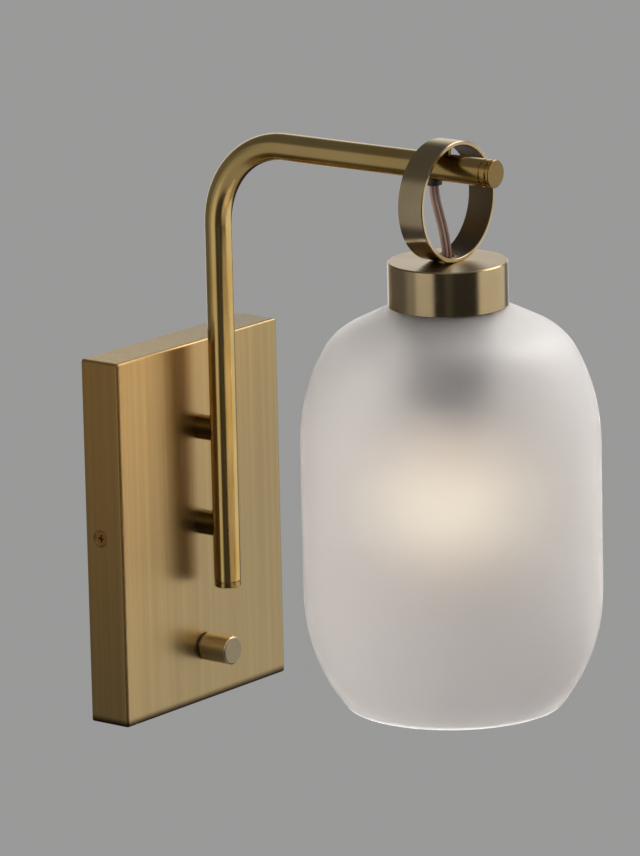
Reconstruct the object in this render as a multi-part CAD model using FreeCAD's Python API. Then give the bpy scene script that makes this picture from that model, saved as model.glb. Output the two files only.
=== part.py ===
import FreeCAD, Part
import math
import os

# Wall lamp, in millimetres. The wall is the plane Y = 0, the lamp stands out towards -Y,
# +X is to the right when facing the wall and +Z is up. The origin is the centre of the
# backplate's open rear, on the wall.

V = FreeCAD.Vector
FULL_TURN = 360.0
HEX_SIDES = 6
straight_share = 0.001         # how far off a direction an edge may lie and still count as along it

# Shared fits
cut_over = 1.0                 # how far a cutting tool runs past a face
seat_gap = 0.05                # between pieces that are screwed, pressed or brazed together
running_gap = 0.05             # round the dimmer's turning shaft
moving_gap = 0.35              # round the bulb's screw base in its holder

# Backplate, folded from sheet
plate_width = 121.0
plate_height = 178.0
plate_depth = 22.0
plate_sheet = 1.2
plate_edge_radius = 1.5

# Arm, a bent round tube
tube_diameter = 13.0
tube_wall = 1.2
tube_gap = 7.8                 # from the plate's face to the back of the tube
tube_bend_radius = 41.0
arm_height = 189.0             # centre of the level run above the plate's centre
arm_overhang = 22.8            # tube past the axis of the ring
tube_foot_drop = 26.4          # from the plate's centre down to the tube's lower end

# Standoffs between plate and tube, each turned with a hollow threaded spigot
standoff_diameter = 12.0
standoff_pitch = 47.0
lower_standoff_height = 0.0
standoff_thread_over = 1.5     # thread that shows past the nut

# Lamp thread, its nuts and its washers
thread_diameter = 10.0
thread_bore = 7.0
nut_flats = 14.0
nut_height = 3.0
nut_chamfer = 0.6
washer_diameter = 16.0
washer_height = 0.8

# End plugs of the tube
plug_spigot = 8.0
plug_bore = 5.0
seam_width = 0.7
seam_depth = 0.7
plug_band = 2.6
plug_band_inset = 0.15
plug_groove = 1.2
plug_groove_depth = 0.9
plug_disc = 1.2
plug_edge = 0.3

# Ring that hangs on the arm and carries the cap
lamp_reach = 172.2             # from the wall to the axis of ring, cap and shade
ring_diameter = 56.4
ring_wall = 2.0
ring_width = 14.0
ring_edge = 0.35
stud_gap = 4.4                 # from the top of the tube to the ring
stud_diameter = 5.0
stud_thread = 4.0
stud_pin = 3.5
stud_pin_depth = 1.3
stud_nut_flats = 7.0
stud_nut_height = 2.4

# Twin lead and its bushing under the arm
core_diameter = 2.8
web_thickness = 1.4
lead_plate_bend = 10.0         # turn behind the plate, into the upper standoff
lead_foot_bend = 9.0           # turn from the standoff up into the tube
lead_outlet_bend = 6.5         # turn from the arm down into the bushing
outlet_offset = 7.2            # outlet behind the ring's middle
outlet_straight = 4.2          # straight lead below the bushing
ring_entry_straight = 5.6      # straight lead above the ring's floor
bushing_bore = 6.2
bushing_neck = 7.0
bushing_flange = 7.8
bushing_drop = 2.2
easy_arc_share = 0.45

# Cap over the shade
cap_diameter = 56.0
cap_height = 20.8
cap_wall = 1.5
cap_top = 2.0
cap_chamfer = 0.6

# Glass shade
shade_diameter = 140.0
shade_wall = 3.5
shade_length = 189.6           # from the flat top to the open rim
shade_hole = 41.0
shade_flat_diameter = 50.8
shade_crown_slope = 26.1       # degrees below level
shade_corner_radius = 30.5
shade_upper_radius = 90.4
shade_upper_drop = 65.6        # from the flat top to the straight wall
shade_straight = 71.6
shade_lower_radius = 85.0
shade_rise = 0.5               # the flat top stands this far inside the cap
shade_chords = 5               # short cones along each arc of the wall
shade_lip_chords = 6

# Lampholder
holder_diameter = 39.0
holder_length = 51.2           # from the flange to the mouth
holder_flange = 50.0
holder_flange_height = 2.0
holder_wall = 4.0
holder_floor = 4.0
holder_chamber = 17.2          # from the top of the flange to the floor
holder_mouth_edge = 0.8
nipple_in_holder = 8.0
holder_cap_wall = 2.5
holder_cap_height = 11.0
holder_collar = 16.0
holder_cap_skirt = 3.0
holder_step_height = 1.5
gasket_height = 1.0
shell_wall = 0.5
shell_height = 24.0
shell_window = 12.0
contact_strip = 0.5
contact_strip_width = 5.0
contact_strip_length = 10.0
contact_drop = 1.2
terminal_screw_head = 6.0
terminal_screw_head_height = 2.0
terminal_screw_thread = 3.5
terminal_screw_depth = 2.8
terminal_screw_spread = 18.0
terminal_slot_width = 0.9
terminal_slot_depth = 0.9
shade_ring_collar = 46.0
shade_ring_height = 9.0
shade_ring_flange = 48.4
shade_ring_flange_height = 2.4
shade_ring_notch = 3.0
shade_ring_notches = 8

# Bulb
bulb_diameter = 60.0
bulb_neck = 26.6
bulb_neck_radius = 45.0
bulb_glass = 0.9
bulb_globe_chords = 16
bulb_neck_chords = 6
bulb_base_diameter = 26.0
bulb_base_wall = 0.6
bulb_base_height = 21.0
bulb_base_shoulder = 2.0
bulb_neck_tuck = 6.0
bulb_insulator_height = 4.6
bulb_insulator_foot = 22.4
bulb_insulator_top = 12.0
bulb_contact_diameter = 9.0
bulb_contact_height = 1.4
bulb_contact_gap = 0.4
stem_length = 44.0             # from its seal in the neck down to the press
stem_press = 7.0
filament_wire = 0.8
filament_feet = 2.0            # half the spread of the leads at the press
filament_spread = 9.0
filament_drop = 14.0
filament_turn = 1.5
dome_share = 0.7               # flat part of the contact's dome

# Dimmer and knob
dimmer_drop = 62.0             # below the plate's centre
dimmer_width = 26.0
dimmer_height = 24.0
dimmer_depth = 11.0
dimmer_edge = 2.0
dimmer_face = 0.8
dimmer_thread = 7.0
dimmer_thread_length = 5.4
dimmer_tag_width = 3.0
dimmer_tag_height = 0.8
dimmer_tag_length = 4.0
dimmer_tag_pitch = 8.0
dimmer_nut_flats = 10.0
dimmer_nut_height = 2.0
dimmer_washer = 11.4
dimmer_washer_height = 0.5
shaft_diameter = 5.0
shaft_flat_depth = 0.7
shaft_length = 10.6            # past the end of the dimmer's thread
shaft_sunk = 6.0
knob_diameter = 13.7
knob_length = 15.8
knob_gap = 1.0
knob_chamfer = 0.7
knob_recess = 12.2
knob_recess_depth = 4.8

# Wall bracket inside the plate, folded from strip
bracket_sheet = 1.5
bracket_height = 50.0
bracket_bend = 1.5
bracket_corner = 3.0
tab_height = 22.0
tab_depth = 15.0
slot_width = 4.6
slot_travel = 9.6
slot_spacing = 79.4
wire_hole = 20.0
wire_hole_drop = 12.0
side_screw_depth = 8.3         # from the wall
side_screw_height = 2.5        # above the plate's centre

# Side screws in pressed dimples of the plate
dimple_mouth = 8.4
dimple_throat = 4.4
dimple_depth = 2.6
dimple_land = 0.6
side_head = 6.6
side_thread = 3.5
side_thread_over = 3.0
cross_width = 1.0
cross_length = 3.6
cross_depth = 1.1

# Ground screw
ground_offset = 22.0
ground_head = 7.0
ground_head_height = 2.6
ground_collar = 9.0
ground_collar_height = 0.8
ground_thread = 4.6
ground_slot_width = 1.0
ground_slot_depth = 1.2

# Terminal block on the bracket
block_width = 22.0
block_height = 16.0
block_depth = 12.5
block_edge = 1.0
block_rise = 14.0              # its middle above the bracket's middle
block_pitch = 9.0
block_tower = 7.6
block_waist = 2.0
sleeve_diameter = 4.8
sleeve_bore = 3.0
sleeve_inset = 2.0
block_screw_thread = 2.6
block_screw_head = 3.6
block_screw_pitch = 7.0
block_screw_head_height = 0.6
fixing_head = 4.6
fixing_head_height = 1.4
fixing_thread = 2.6
lead_drop_depth = 8.0          # lead's place behind the plate, from the wall

# Places that follow from the sizes above
tube_radius = tube_diameter / 2
tube_bore_radius = tube_radius - tube_wall
plate_face = -plate_depth
plate_inner = plate_face + plate_sheet
arm_y = plate_face - tube_gap - tube_radius
lamp_y = -lamp_reach
arm_reach = lamp_reach + arm_overhang
outlet_y = lamp_y + outlet_offset
upper_standoff_height = lower_standoff_height + standoff_pitch
ring_radius = ring_diameter / 2
ring_inner_radius = ring_radius - ring_wall
ring_center = arm_height + tube_radius + stud_gap - ring_inner_radius
ring_floor = ring_center - ring_inner_radius
cap_top_z = ring_center - ring_radius
cap_under = cap_top_z - cap_top
cap_rim = cap_top_z - cap_height
glass_top = cap_rim + shade_rise
glass_under = glass_top - shade_wall
gasket_top = glass_top + gasket_height
holder_top = gasket_top + holder_flange_height
holder_mouth = gasket_top - holder_length
holder_radius = holder_diameter / 2
floor_top = holder_top - holder_chamber
floor_under = floor_top - holder_floor
shell_radius = bulb_base_diameter / 2 + moving_gap
bulb_top = floor_under - contact_drop - contact_strip - bulb_contact_gap
bulb_rim = bulb_top - bulb_contact_height - bulb_insulator_height - bulb_base_height
dimmer_y = plate_inner + dimmer_face
dimmer_z = -dimmer_drop
thread_end = plate_face - dimmer_thread_length
knob_back = plate_face - knob_gap
lead_half_width = core_diameter
nut_corner_share = 1 / math.cos(math.pi / HEX_SIDES)

UP = V(0, 0, 1)
DOWN = V(0, 0, -1)
OUT = V(0, -1, 0)
IN = V(0, 1, 0)
ORIGIN = V(0, 0, 0)


def outline(corners):
    """Closed face in the XZ plane."""
    points = [V(x, 0, z) for x, z in corners]
    return Part.Face(Part.makePolygon(points + points[:1]))


def turned(corners, place=ORIGIN, axis=UP):
    """Solid of revolution: the outline's first number is a radius, its second runs along the axis."""
    solid = outline(corners).revolve(ORIGIN, UP, FULL_TURN)
    return stand(solid, place, axis)


def stand(shape, place, axis=UP):
    """Turn +Z to the axis and move the shape to its place."""
    shape.Placement = FreeCAD.Placement(place, FreeCAD.Rotation(UP, axis)).multiply(shape.Placement)
    return shape


def rod(diameter, length, place=ORIGIN, axis=UP):
    return Part.makeCylinder(diameter / 2, length, place, axis)


def washer(outer, bore, height, place, axis):
    return rod(outer, height, place, axis).cut(rod(bore, height, place, axis))


def hexagon(flats, height, place, axis):
    corner = flats / 2 * nut_corner_share
    angles = [math.radians(FULL_TURN * i / HEX_SIDES) for i in range(HEX_SIDES)]
    points = [V(corner * math.cos(a), corner * math.sin(a), 0) for a in angles]
    prism = Part.Face(Part.makePolygon(points + points[:1])).extrude(V(0, 0, height))
    return stand(prism, place, axis)


def nut(flats, bore, height, chamfer, place, axis):
    """Hexagon nut with its corners turned off at both ends."""
    corner = flats / 2 * nut_corner_share
    land = corner - chamfer
    rise = chamfer / 2
    blank = turned([(0, 0), (land, 0), (corner, rise), (corner, height - rise),
                    (land, height), (0, height)], place, axis)
    body = hexagon(flats, height, place, axis).common(blank)
    return body.cut(rod(bore, height, place, axis))


def box(width, depth, height, center):
    """Block centred on a point; depth runs along Y."""
    corner = center - V(width / 2, depth / 2, height / 2)
    return Part.makeBox(width, depth, height, corner)


def edges_along(shape, direction):
    """Straight edges that run along a direction."""
    found = []
    for edge in shape.Edges:
        if isinstance(edge.Curve, Part.Line) or isinstance(edge.Curve, Part.LineSegment):
            run = edge.Vertexes[-1].Point - edge.Vertexes[0].Point
            if run.cross(direction).Length < run.Length * straight_share:
                found.append(edge)
    return found


def group(solids):
    return Part.makeCompound(solids)


def backplate_cover():
    """Folded sheet box, open at the wall, with rounded bends and pressed screw dimples."""
    middle = V(0, plate_face / 2, 0)
    outer = box(plate_width, plate_depth, plate_height, middle)
    front = [e for e in outer.Edges if abs(e.CenterOfMass.y - plate_face) < plate_sheet / 2]
    outer = outer.makeFillet(plate_edge_radius, edges_along(outer, IN) + front)
    thin = 2 * plate_sheet
    inner = box(plate_width - thin, plate_depth, plate_height - thin, middle + V(0, plate_sheet, 0))
    front = [e for e in inner.Edges if abs(e.CenterOfMass.y - plate_inner) < plate_sheet / 2]
    inner = inner.makeFillet(plate_edge_radius - plate_sheet, edges_along(inner, IN) + front)
    body = outer.cut(inner)
    for side in (-1, 1):
        mouth = V(side * plate_width / 2, -side_screw_depth, side_screw_height)
        inward = V(-side, 0, 0)
        body = body.fuse(turned(dimple_outside(), mouth, inward))
        body = body.cut(turned(dimple_inside(), mouth, inward))
    for height in (lower_standoff_height, upper_standoff_height):
        body = body.cut(rod(thread_diameter + 2 * seat_gap, plate_depth, V(0, 0, height), OUT))
    return body.cut(rod(dimmer_thread + 2 * seat_gap, plate_depth, V(0, 0, dimmer_z), OUT))


def dimple_outside():
    """Swelling of the sheet on the inner side, from just under the surface."""
    reach = (dimple_mouth + plate_sheet) / 2
    end = dimple_throat / 2 + plate_sheet
    under = plate_sheet / 2
    return [(0, under), (reach, under), (reach, plate_sheet), (end, dimple_depth), (0, dimple_depth)]


def dimple_inside():
    """The cone that the screw's head lies in, with the throat below it."""
    deep = dimple_depth + cut_over
    land = dimple_depth - dimple_land
    over = dimple_mouth / 2 + cut_over * (dimple_mouth - dimple_throat) / (2 * land)
    throat = dimple_throat / 2
    return [(0, -cut_over), (over, -cut_over), (throat, land), (throat, deep), (0, deep)]


def side_screws():
    """Countersunk screws with a cross recess, lying in the dimples and the bracket's tabs."""
    land = dimple_depth - dimple_land
    slope = (dimple_mouth - dimple_throat) / 2 / land
    head_at = (dimple_mouth - side_head) / 2 / slope - seat_gap
    neck_at = head_at + (side_head - side_thread) / 2 / slope
    end = dimple_depth + bracket_sheet + side_thread_over
    shape = [(0, head_at), (side_head / 2, head_at), (side_thread / 2, neck_at),
             (side_thread / 2, end), (0, end)]
    solids = []
    for side in (-1, 1):
        mouth = V(side * plate_width / 2, -side_screw_depth, side_screw_height)
        inward = V(-side, 0, 0)
        screw = turned(shape, mouth, inward)
        recess = mouth + inward * (head_at + cross_depth / 2)
        screw = screw.cut(box(cross_depth, cross_width, cross_length, recess))
        screw = screw.cut(box(cross_depth, cross_length, cross_width, recess))
        solids.append(screw)
    return group(solids)


def wall_bracket():
    """Strip folded into a flat U: slots for the box screws, a wire hole and tapped side tabs."""
    half = plate_width / 2 - dimple_depth - seat_gap
    bend = bracket_bend + bracket_sheet
    depth = tab_depth
    strip = box(2 * half, depth, tab_height, V(0, -depth / 2, 0))
    strip = strip.makeFillet(bend, [e for e in edges_along(strip, UP) if abs(e.CenterOfMass.y) < depth / 2])
    room = box(2 * (half - bracket_sheet), depth, tab_height, V(0, -depth / 2 - bracket_sheet, 0))
    room = room.makeFillet(bracket_bend, [e for e in edges_along(room, UP) if e.CenterOfMass.y > -depth / 2])
    strip = strip.cut(room)
    web = box(2 * (half - bend), bracket_sheet, bracket_height, V(0, -bracket_sheet / 2, 0))
    web = web.makeFillet(bracket_corner, edges_along(web, IN))
    body = strip.fuse(web).removeSplitter()
    for side in (-1, 1):
        body = body.cut(slot(V(side * slot_spacing / 2, 0, 0)))
        tab = V(side * (half + cut_over), -side_screw_depth, side_screw_height)
        body = body.cut(rod(side_thread + 2 * seat_gap, bend + cut_over, tab, V(-side, 0, 0)))
    body = body.cut(rod(wire_hole, bracket_sheet, V(0, 0, -wire_hole_drop), OUT))
    ground = V(-ground_offset, 0, -wire_hole_drop)
    body = body.cut(rod(ground_thread + 2 * seat_gap, bracket_sheet, ground, OUT))
    fixing = V(0, 0, block_rise)
    return body.cut(rod(fixing_thread + 2 * seat_gap, bracket_sheet, fixing, OUT))


def slot(center):
    """Level slot through the bracket, for a screw of the wall box."""
    bar = box(slot_travel, 2 * bracket_sheet, slot_width, center)
    for side in (-1, 1):
        end = center + V(side * slot_travel / 2, bracket_sheet, 0)
        bar = bar.fuse(rod(slot_width, 2 * bracket_sheet, end, OUT))
    return bar


def slotted_screw(head, head_height, thread, depth, slot_w, slot_d, place, axis):
    """Screw whose head stands along the axis from its place and whose thread runs back from it."""
    shape = [(0, -depth), (thread / 2, -depth), (thread / 2, 0), (head / 2, 0),
             (head / 2, head_height), (0, head_height)]
    screw = turned(shape)
    screw = screw.cut(box(head, slot_w, slot_d, V(0, 0, head_height - slot_d / 2)))
    return stand(screw, place, axis)


def ground_screw():
    """Hexagon washer-head screw for the earth wire, in a tapped hole of the bracket."""
    face = V(-ground_offset, -bracket_sheet, -wire_hole_drop)
    collar = rod(ground_collar, ground_collar_height, face, OUT)
    head_at = face + OUT * ground_collar_height
    head = hexagon(ground_head, ground_head_height, head_at, OUT)
    notch_at = head_at + OUT * (ground_head_height - ground_slot_depth / 2)
    head = head.cut(box(2 * ground_head, ground_slot_depth, ground_slot_width, notch_at))
    stem = rod(ground_thread, bracket_sheet, face, IN)
    return collar.fuse([head, stem])


def block_center():
    return V(0, -bracket_sheet - block_depth / 2, block_rise)


def terminal_block():
    """Two-pole connector: a moulded bar with a screw tower over each pole and funnels at its ends."""
    middle = block_center()
    base_depth = block_depth - block_waist
    base = box(block_width, base_depth, block_height, middle + V(0, block_waist / 2, 0))
    base = base.makeFillet(block_edge, edges_along(base, IN))
    body = base
    for side in (-1, 1):
        tower = V(side * block_pitch / 2, -bracket_sheet, middle.z)
        body = body.fuse(rod(block_tower, block_depth, tower, OUT))
    for side in (-1, 1):
        sleeve_axis = V(side * block_pitch / 2, -lead_drop_depth, middle.z - block_height / 2)
        body = body.cut(rod(sleeve_diameter + 2 * seat_gap, block_height, sleeve_axis, UP))
        for step in (-1, 1):
            screw = V(side * block_pitch / 2, -lead_drop_depth, middle.z + step * block_screw_pitch / 2)
            body = body.cut(rod(block_screw_head + 2 * seat_gap, block_depth, screw, OUT))
    fixing = V(0, 0, middle.z)
    body = body.cut(rod(fixing_thread + 2 * seat_gap, block_depth + cut_over, fixing, OUT))
    sunk = V(0, -bracket_sheet - base_depth + fixing_head_height, middle.z)
    body = body.cut(rod(fixing_head + 2 * seat_gap, block_depth, sunk, OUT))
    return body


def terminal_sleeves():
    """Brass sleeves of the connector, each tapped for two clamping screws."""
    middle = block_center()
    length = block_height - 2 * sleeve_inset
    solids = []
    for side in (-1, 1):
        foot = V(side * block_pitch / 2, -lead_drop_depth, middle.z - length / 2)
        sleeve = washer(sleeve_diameter, sleeve_bore, length, foot, UP)
        for step in (-1, 1):
            hole = V(foot.x, foot.y, middle.z + step * block_screw_pitch / 2)
            sleeve = sleeve.cut(rod(block_screw_thread + 2 * seat_gap, sleeve_diameter, hole, OUT))
        solids.append(sleeve)
    return group(solids)


def terminal_screws():
    """Clamping screws of the connector, reaching into the bores of the sleeves."""
    middle = block_center()
    top = -bracket_sheet - block_depth + block_waist
    head_face = top - block_screw_head_height
    tip = -lead_drop_depth - sleeve_bore / 4
    solids = []
    for side in (-1, 1):
        for step in (-1, 1):
            place = V(side * block_pitch / 2, top, middle.z + step * block_screw_pitch / 2)
            solids.append(slotted_screw(block_screw_head, top - head_face, block_screw_thread,
                                        tip - top, terminal_slot_width,
                                        block_screw_head_height / 2, place, OUT))
    return group(solids)


def block_fixing():
    """Small screw that holds the connector to the bracket, sunk between its towers."""
    seat = V(0, -bracket_sheet - block_depth + block_waist + fixing_head_height, block_center().z)
    depth = -seat.y
    return slotted_screw(fixing_head, fixing_head_height, fixing_thread, depth,
                         terminal_slot_width, fixing_head_height / 2, seat, OUT)


def tube_path(start_drop, end_reach):
    """Centre line of the tube: up, round the bend and out along the arm."""
    turn = tube_bend_radius
    foot = V(0, arm_y, -start_drop)
    bend_start = V(0, arm_y, arm_height - turn)
    bend_end = V(0, arm_y - turn, arm_height)
    diagonal = turn * math.cos(math.pi / 4)
    bend_middle = V(0, arm_y - turn + diagonal, arm_height - turn + diagonal)
    tip = V(0, -end_reach, arm_height)
    return Part.Wire([Part.LineSegment(foot, bend_start).toShape(),
                      Part.Arc(bend_start, bend_middle, bend_end).toShape(),
                      Part.LineSegment(bend_end, tip).toShape()])


def swept_rod(radius, path):
    first = path.Edges[0]
    start = first.valueAt(first.FirstParameter)
    ring = Part.Wire([Part.makeCircle(radius, start, first.tangentAt(first.FirstParameter))])
    return path.makePipeShell([ring], True, False)


def arm_tube():
    """Bent tube with holes for the lead, the standoffs and the ring's stud."""
    path = tube_path(tube_foot_drop, arm_reach)
    body = swept_rod(tube_radius, path).cut(swept_rod(tube_bore_radius, path))
    for height in (lower_standoff_height, upper_standoff_height):
        body = body.cut(rod(thread_bore, tube_radius, V(0, arm_y, height), IN))
    outlet = V(0, outlet_y, arm_height)
    body = body.cut(rod(bushing_neck + 2 * seat_gap, tube_radius, outlet, DOWN))
    stud = V(0, lamp_y, arm_height)
    return body.cut(rod(stud_thread + 2 * seat_gap, tube_radius, stud, UP))


def standoff(height):
    """Turned distance piece: saddle against the tube, hollow threaded spigot through the plate."""
    body = rod(standoff_diameter, tube_gap + tube_radius, V(0, plate_face, height), OUT)
    spigot = plate_sheet + washer_height + nut_height + standoff_thread_over
    body = body.fuse(rod(thread_diameter, spigot, V(0, plate_face, height), IN))
    saddle_start = V(0, arm_y, height - standoff_diameter)
    saddle = rod(tube_diameter + 2 * seat_gap, 2 * standoff_diameter, saddle_start, UP)
    bore = rod(thread_bore, 2 * plate_depth, V(0, arm_y, height), IN)
    return body.cut(saddle).cut(bore)


def standoff_washers():
    solids = []
    for height in (lower_standoff_height, upper_standoff_height):
        place = V(0, plate_inner, height)
        solids.append(washer(washer_diameter, thread_diameter + 2 * seat_gap, washer_height, place, IN))
    return group(solids)


def standoff_nuts():
    solids = []
    for height in (lower_standoff_height, upper_standoff_height):
        place = V(0, plate_inner + washer_height, height)
        solids.append(nut(nut_flats, thread_diameter + 2 * seat_gap, nut_height, nut_chamfer, place, IN))
    return group(solids)


def plug_core():
    """Inner half of a plug's outline: its bore from the back, and the spigot in the tube."""
    spigot = tube_bore_radius - seat_gap
    hollow = plug_bore / 2
    return [(hollow, seam_width), (hollow, -plug_spigot), (spigot - plug_edge, -plug_spigot),
            (spigot, plug_edge - plug_spigot), (spigot, 0)]


def lower_end_plug():
    """Plug with a seam groove and one band, closing the tube's lower end."""
    neck = tube_radius - seam_depth
    band = tube_radius - plug_band_inset
    end = seam_width + plug_band
    shape = [(0, end), (0, seam_width)] + plug_core()
    shape += [(neck, 0), (neck, seam_width), (band, seam_width), (band, end - plug_edge),
              (band - plug_edge, end)]
    return turned(shape, V(0, arm_y, -tube_foot_drop), DOWN)


def front_end_plug():
    """Plug with a seam, a band, a deeper groove and a thin end disc."""
    neck = tube_radius - seam_depth
    band = tube_radius - plug_band_inset
    groove = tube_radius - plug_groove_depth
    band_end = seam_width + plug_band
    groove_end = band_end + plug_groove
    end = groove_end + plug_disc
    shape = [(0, end), (0, seam_width)] + plug_core()
    shape += [(neck, 0), (neck, seam_width), (band, seam_width), (band, band_end),
              (groove, band_end), (groove, groove_end), (tube_radius, groove_end),
              (tube_radius, end - plug_edge), (tube_radius - plug_edge, end)]
    return turned(shape, V(0, -arm_reach, arm_height), OUT)


def ring():
    """Flat band ring round the arm, with eased edges, a stud seat above and a nipple hole below."""
    half = ring_width / 2
    outer = ring_radius
    inner = ring_inner_radius
    shape = [(inner, ring_edge - half), (inner + ring_edge, -half), (outer - ring_edge, -half),
             (outer, ring_edge - half), (outer, half - ring_edge), (outer - ring_edge, half),
             (inner + ring_edge, half), (inner, half - ring_edge)]
    body = turned(shape, V(0, lamp_y, ring_center), OUT)
    body = body.cut(rod(thread_diameter + 2 * seat_gap, ring_radius, V(0, lamp_y, ring_center), DOWN))
    seat = rod(stud_pin + 2 * seat_gap, stud_pin_depth + seat_gap + ring_inner_radius,
               V(0, lamp_y, ring_center), UP)
    return body.cut(seat)


def ring_stud():
    """Stepped stud: pinned into the ring, shaped to both round faces, threaded through the tube."""
    foot = V(0, lamp_y, arm_height)
    post = rod(stud_diameter, tube_radius + stud_gap, foot, UP)
    half = 2 * stud_diameter
    saddle = rod(tube_diameter + 2 * seat_gap, 2 * half, V(0, lamp_y - half, arm_height), IN)
    inside = rod(2 * (ring_inner_radius - seat_gap), 2 * half, V(0, lamp_y - half, ring_center), IN)
    post = post.cut(saddle).common(inside)
    nut_top = stud_nut_top()
    thread = rod(stud_thread, arm_height + tube_radius + stud_gap / 2 - nut_top + stud_nut_height,
                 V(0, lamp_y, nut_top - stud_nut_height), UP)
    pin_length = stud_gap / 2 + stud_pin_depth
    pin = rod(stud_pin, pin_length, V(0, lamp_y, arm_height + tube_radius + stud_gap / 2), UP)
    return post.fuse([thread, pin])


def stud_nut_top():
    """Height at which the nut's corners meet the bore of the tube."""
    corner = stud_nut_flats / 2 * nut_corner_share
    return arm_height + math.sqrt(tube_bore_radius ** 2 - corner ** 2) - seat_gap


def stud_nut():
    place = V(0, lamp_y, stud_nut_top())
    return nut(stud_nut_flats, stud_thread + 2 * seat_gap, stud_nut_height, nut_chamfer / 2, place, DOWN)


def cord_bushing():
    """Bushing in the underside of the arm: neck through the wall, flange shaped to the tube."""
    low = arm_height - tube_radius - bushing_drop
    flange = rod(bushing_flange, tube_radius, V(0, outlet_y, low), UP)
    flange = flange.makeFillet(bushing_drop / 4, [flange.Edges[i] for i in range(len(flange.Edges))
                                                   if abs(flange.Edges[i].CenterOfMass.z - low) < seat_gap])
    half = 2 * bushing_flange
    saddle = rod(tube_diameter + 2 * seat_gap, 2 * half, V(0, outlet_y - half, arm_height), IN)
    neck_top = arm_height - tube_bore_radius + tube_wall
    neck = rod(bushing_neck, neck_top - low - bushing_drop / 2, V(0, outlet_y, low + bushing_drop / 2), UP)
    body = flange.cut(saddle).fuse(neck)
    return body.cut(rod(bushing_bore, tube_diameter, V(0, outlet_y, low - cut_over), UP))


def rounded_path(points, radii):
    """Straight runs joined by tangent arcs, with the arc radius of each inner point."""
    edges = []
    here = points[0]
    for i in range(1, len(points) - 1):
        corner = points[i]
        back = (points[i - 1] - corner).normalize()
        ahead = (points[i + 1] - corner).normalize()
        half_inside = back.getAngle(ahead) / 2
        setback = radii[i - 1] / math.tan(half_inside)
        start = corner + back * setback
        end = corner + ahead * setback
        bisector = (back + ahead).normalize()
        through = corner + bisector * (radii[i - 1] / math.sin(half_inside) - radii[i - 1])
        edges.append(Part.LineSegment(here, start).toShape())
        edges.append(Part.Arc(start, through, end).toShape())
        here = end
    edges.append(Part.LineSegment(here, points[-1]).toShape())
    return Part.Wire(edges)


def lead_points():
    """Corners of the lead's route from the connector to the lampholder."""
    visible_top = arm_height - tube_radius - bushing_drop - outlet_straight
    visible_low = ring_floor + ring_entry_straight
    return [V(0, -lead_drop_depth, block_center().z + block_height / 2),
            V(0, -lead_drop_depth, upper_standoff_height),
            V(0, arm_y, upper_standoff_height),
            V(0, arm_y, arm_height),
            V(0, outlet_y, arm_height),
            V(0, outlet_y, visible_top),
            V(0, lamp_y, visible_low),
            V(0, lamp_y, floor_top)]


def sway_radius(points, i):
    """Easy arc at a point of the open stretch, from a share of its shorter run."""
    before = points[i] - points[i - 1]
    after = points[i + 1] - points[i]
    half_turn = before.getAngle(after) / 2
    return easy_arc_share * min(before.Length, after.Length) / math.tan(half_turn)


def lamp_cord():
    """Twin lead with two cores and a web, flat side across the lamp, held along its whole route."""
    points = lead_points()
    radii = [lead_plate_bend, lead_foot_bend, tube_bend_radius, lead_outlet_bend,
             sway_radius(points, 5), sway_radius(points, 6)]
    for radius in radii:
        print("lead arc radius", round(radius, 2))
    path = rounded_path(points, radii)
    core = core_diameter / 2
    half_web = web_thickness / 2
    waist = core - math.sqrt(core ** 2 - half_web ** 2)
    start = points[0]

    def at(x, y):
        return start + V(x, y, 0)
    edges = []
    for side in (-1, 1):
        edges.append(Part.Arc(at(side * waist, -half_web), at(side * core_diameter, 0),
                              at(side * waist, half_web)).toShape())
    for face in (-1, 1):
        edges.append(Part.LineSegment(at(-waist, face * half_web), at(waist, face * half_web)).toShape())
    section = Part.Wire(Part.__sortEdges__(edges))
    lead = path.makePipeShell([section], True, False)
    area = Part.Face(section).Area
    print("lead length", round(path.Length, 2), "volume share", round(lead.Volume / (area * path.Length), 4))
    return lead


def ring_nipple():
    """Hollow threaded nipple from the ring's floor through the cap into the lampholder."""
    top = ring_floor - seat_gap
    low = holder_top + holder_cap_height - nipple_in_holder
    return washer(thread_diameter, thread_bore, top - low, V(0, lamp_y, low), UP)


def cap_washer():
    return washer(washer_diameter, thread_diameter + 2 * seat_gap, washer_height,
                  V(0, lamp_y, cap_under), DOWN)


def cap_nut():
    return nut(nut_flats, thread_diameter + 2 * seat_gap, nut_height, nut_chamfer,
               V(0, lamp_y, cap_under - washer_height), DOWN)


def cap():
    """Turned cup over the top of the glass, with a chamfered upper edge."""
    outer = cap_diameter / 2
    inner = outer - cap_wall
    hole = thread_diameter / 2 + seat_gap
    shape = [(hole, cap_under), (hole, cap_top_z), (outer - cap_chamfer, cap_top_z),
             (outer, cap_top_z - cap_chamfer), (outer, cap_rim), (inner, cap_rim),
             (inner, cap_under - cap_wall), (inner - cap_wall, cap_under)]
    return turned(shape, V(0, lamp_y, 0))


def holder_cap():
    """Upper half of the lampholder: a domed cover with a threaded collar."""
    skirt = holder_radius - holder_step_height
    wall = holder_cap_wall
    top = holder_top + holder_cap_height
    collar = holder_collar / 2
    bore = thread_diameter / 2 + seat_gap
    shoulder = holder_top + holder_cap_skirt
    low_collar = top - nipple_in_holder
    shape = [(skirt - wall, holder_top), (skirt, holder_top), (skirt, shoulder),
             (collar, top - wall), (collar, top), (bore, top), (bore, low_collar),
             (collar - wall, low_collar), (skirt - wall, shoulder - wall / 2)]
    return turned(shape, V(0, lamp_y, 0))


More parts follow.
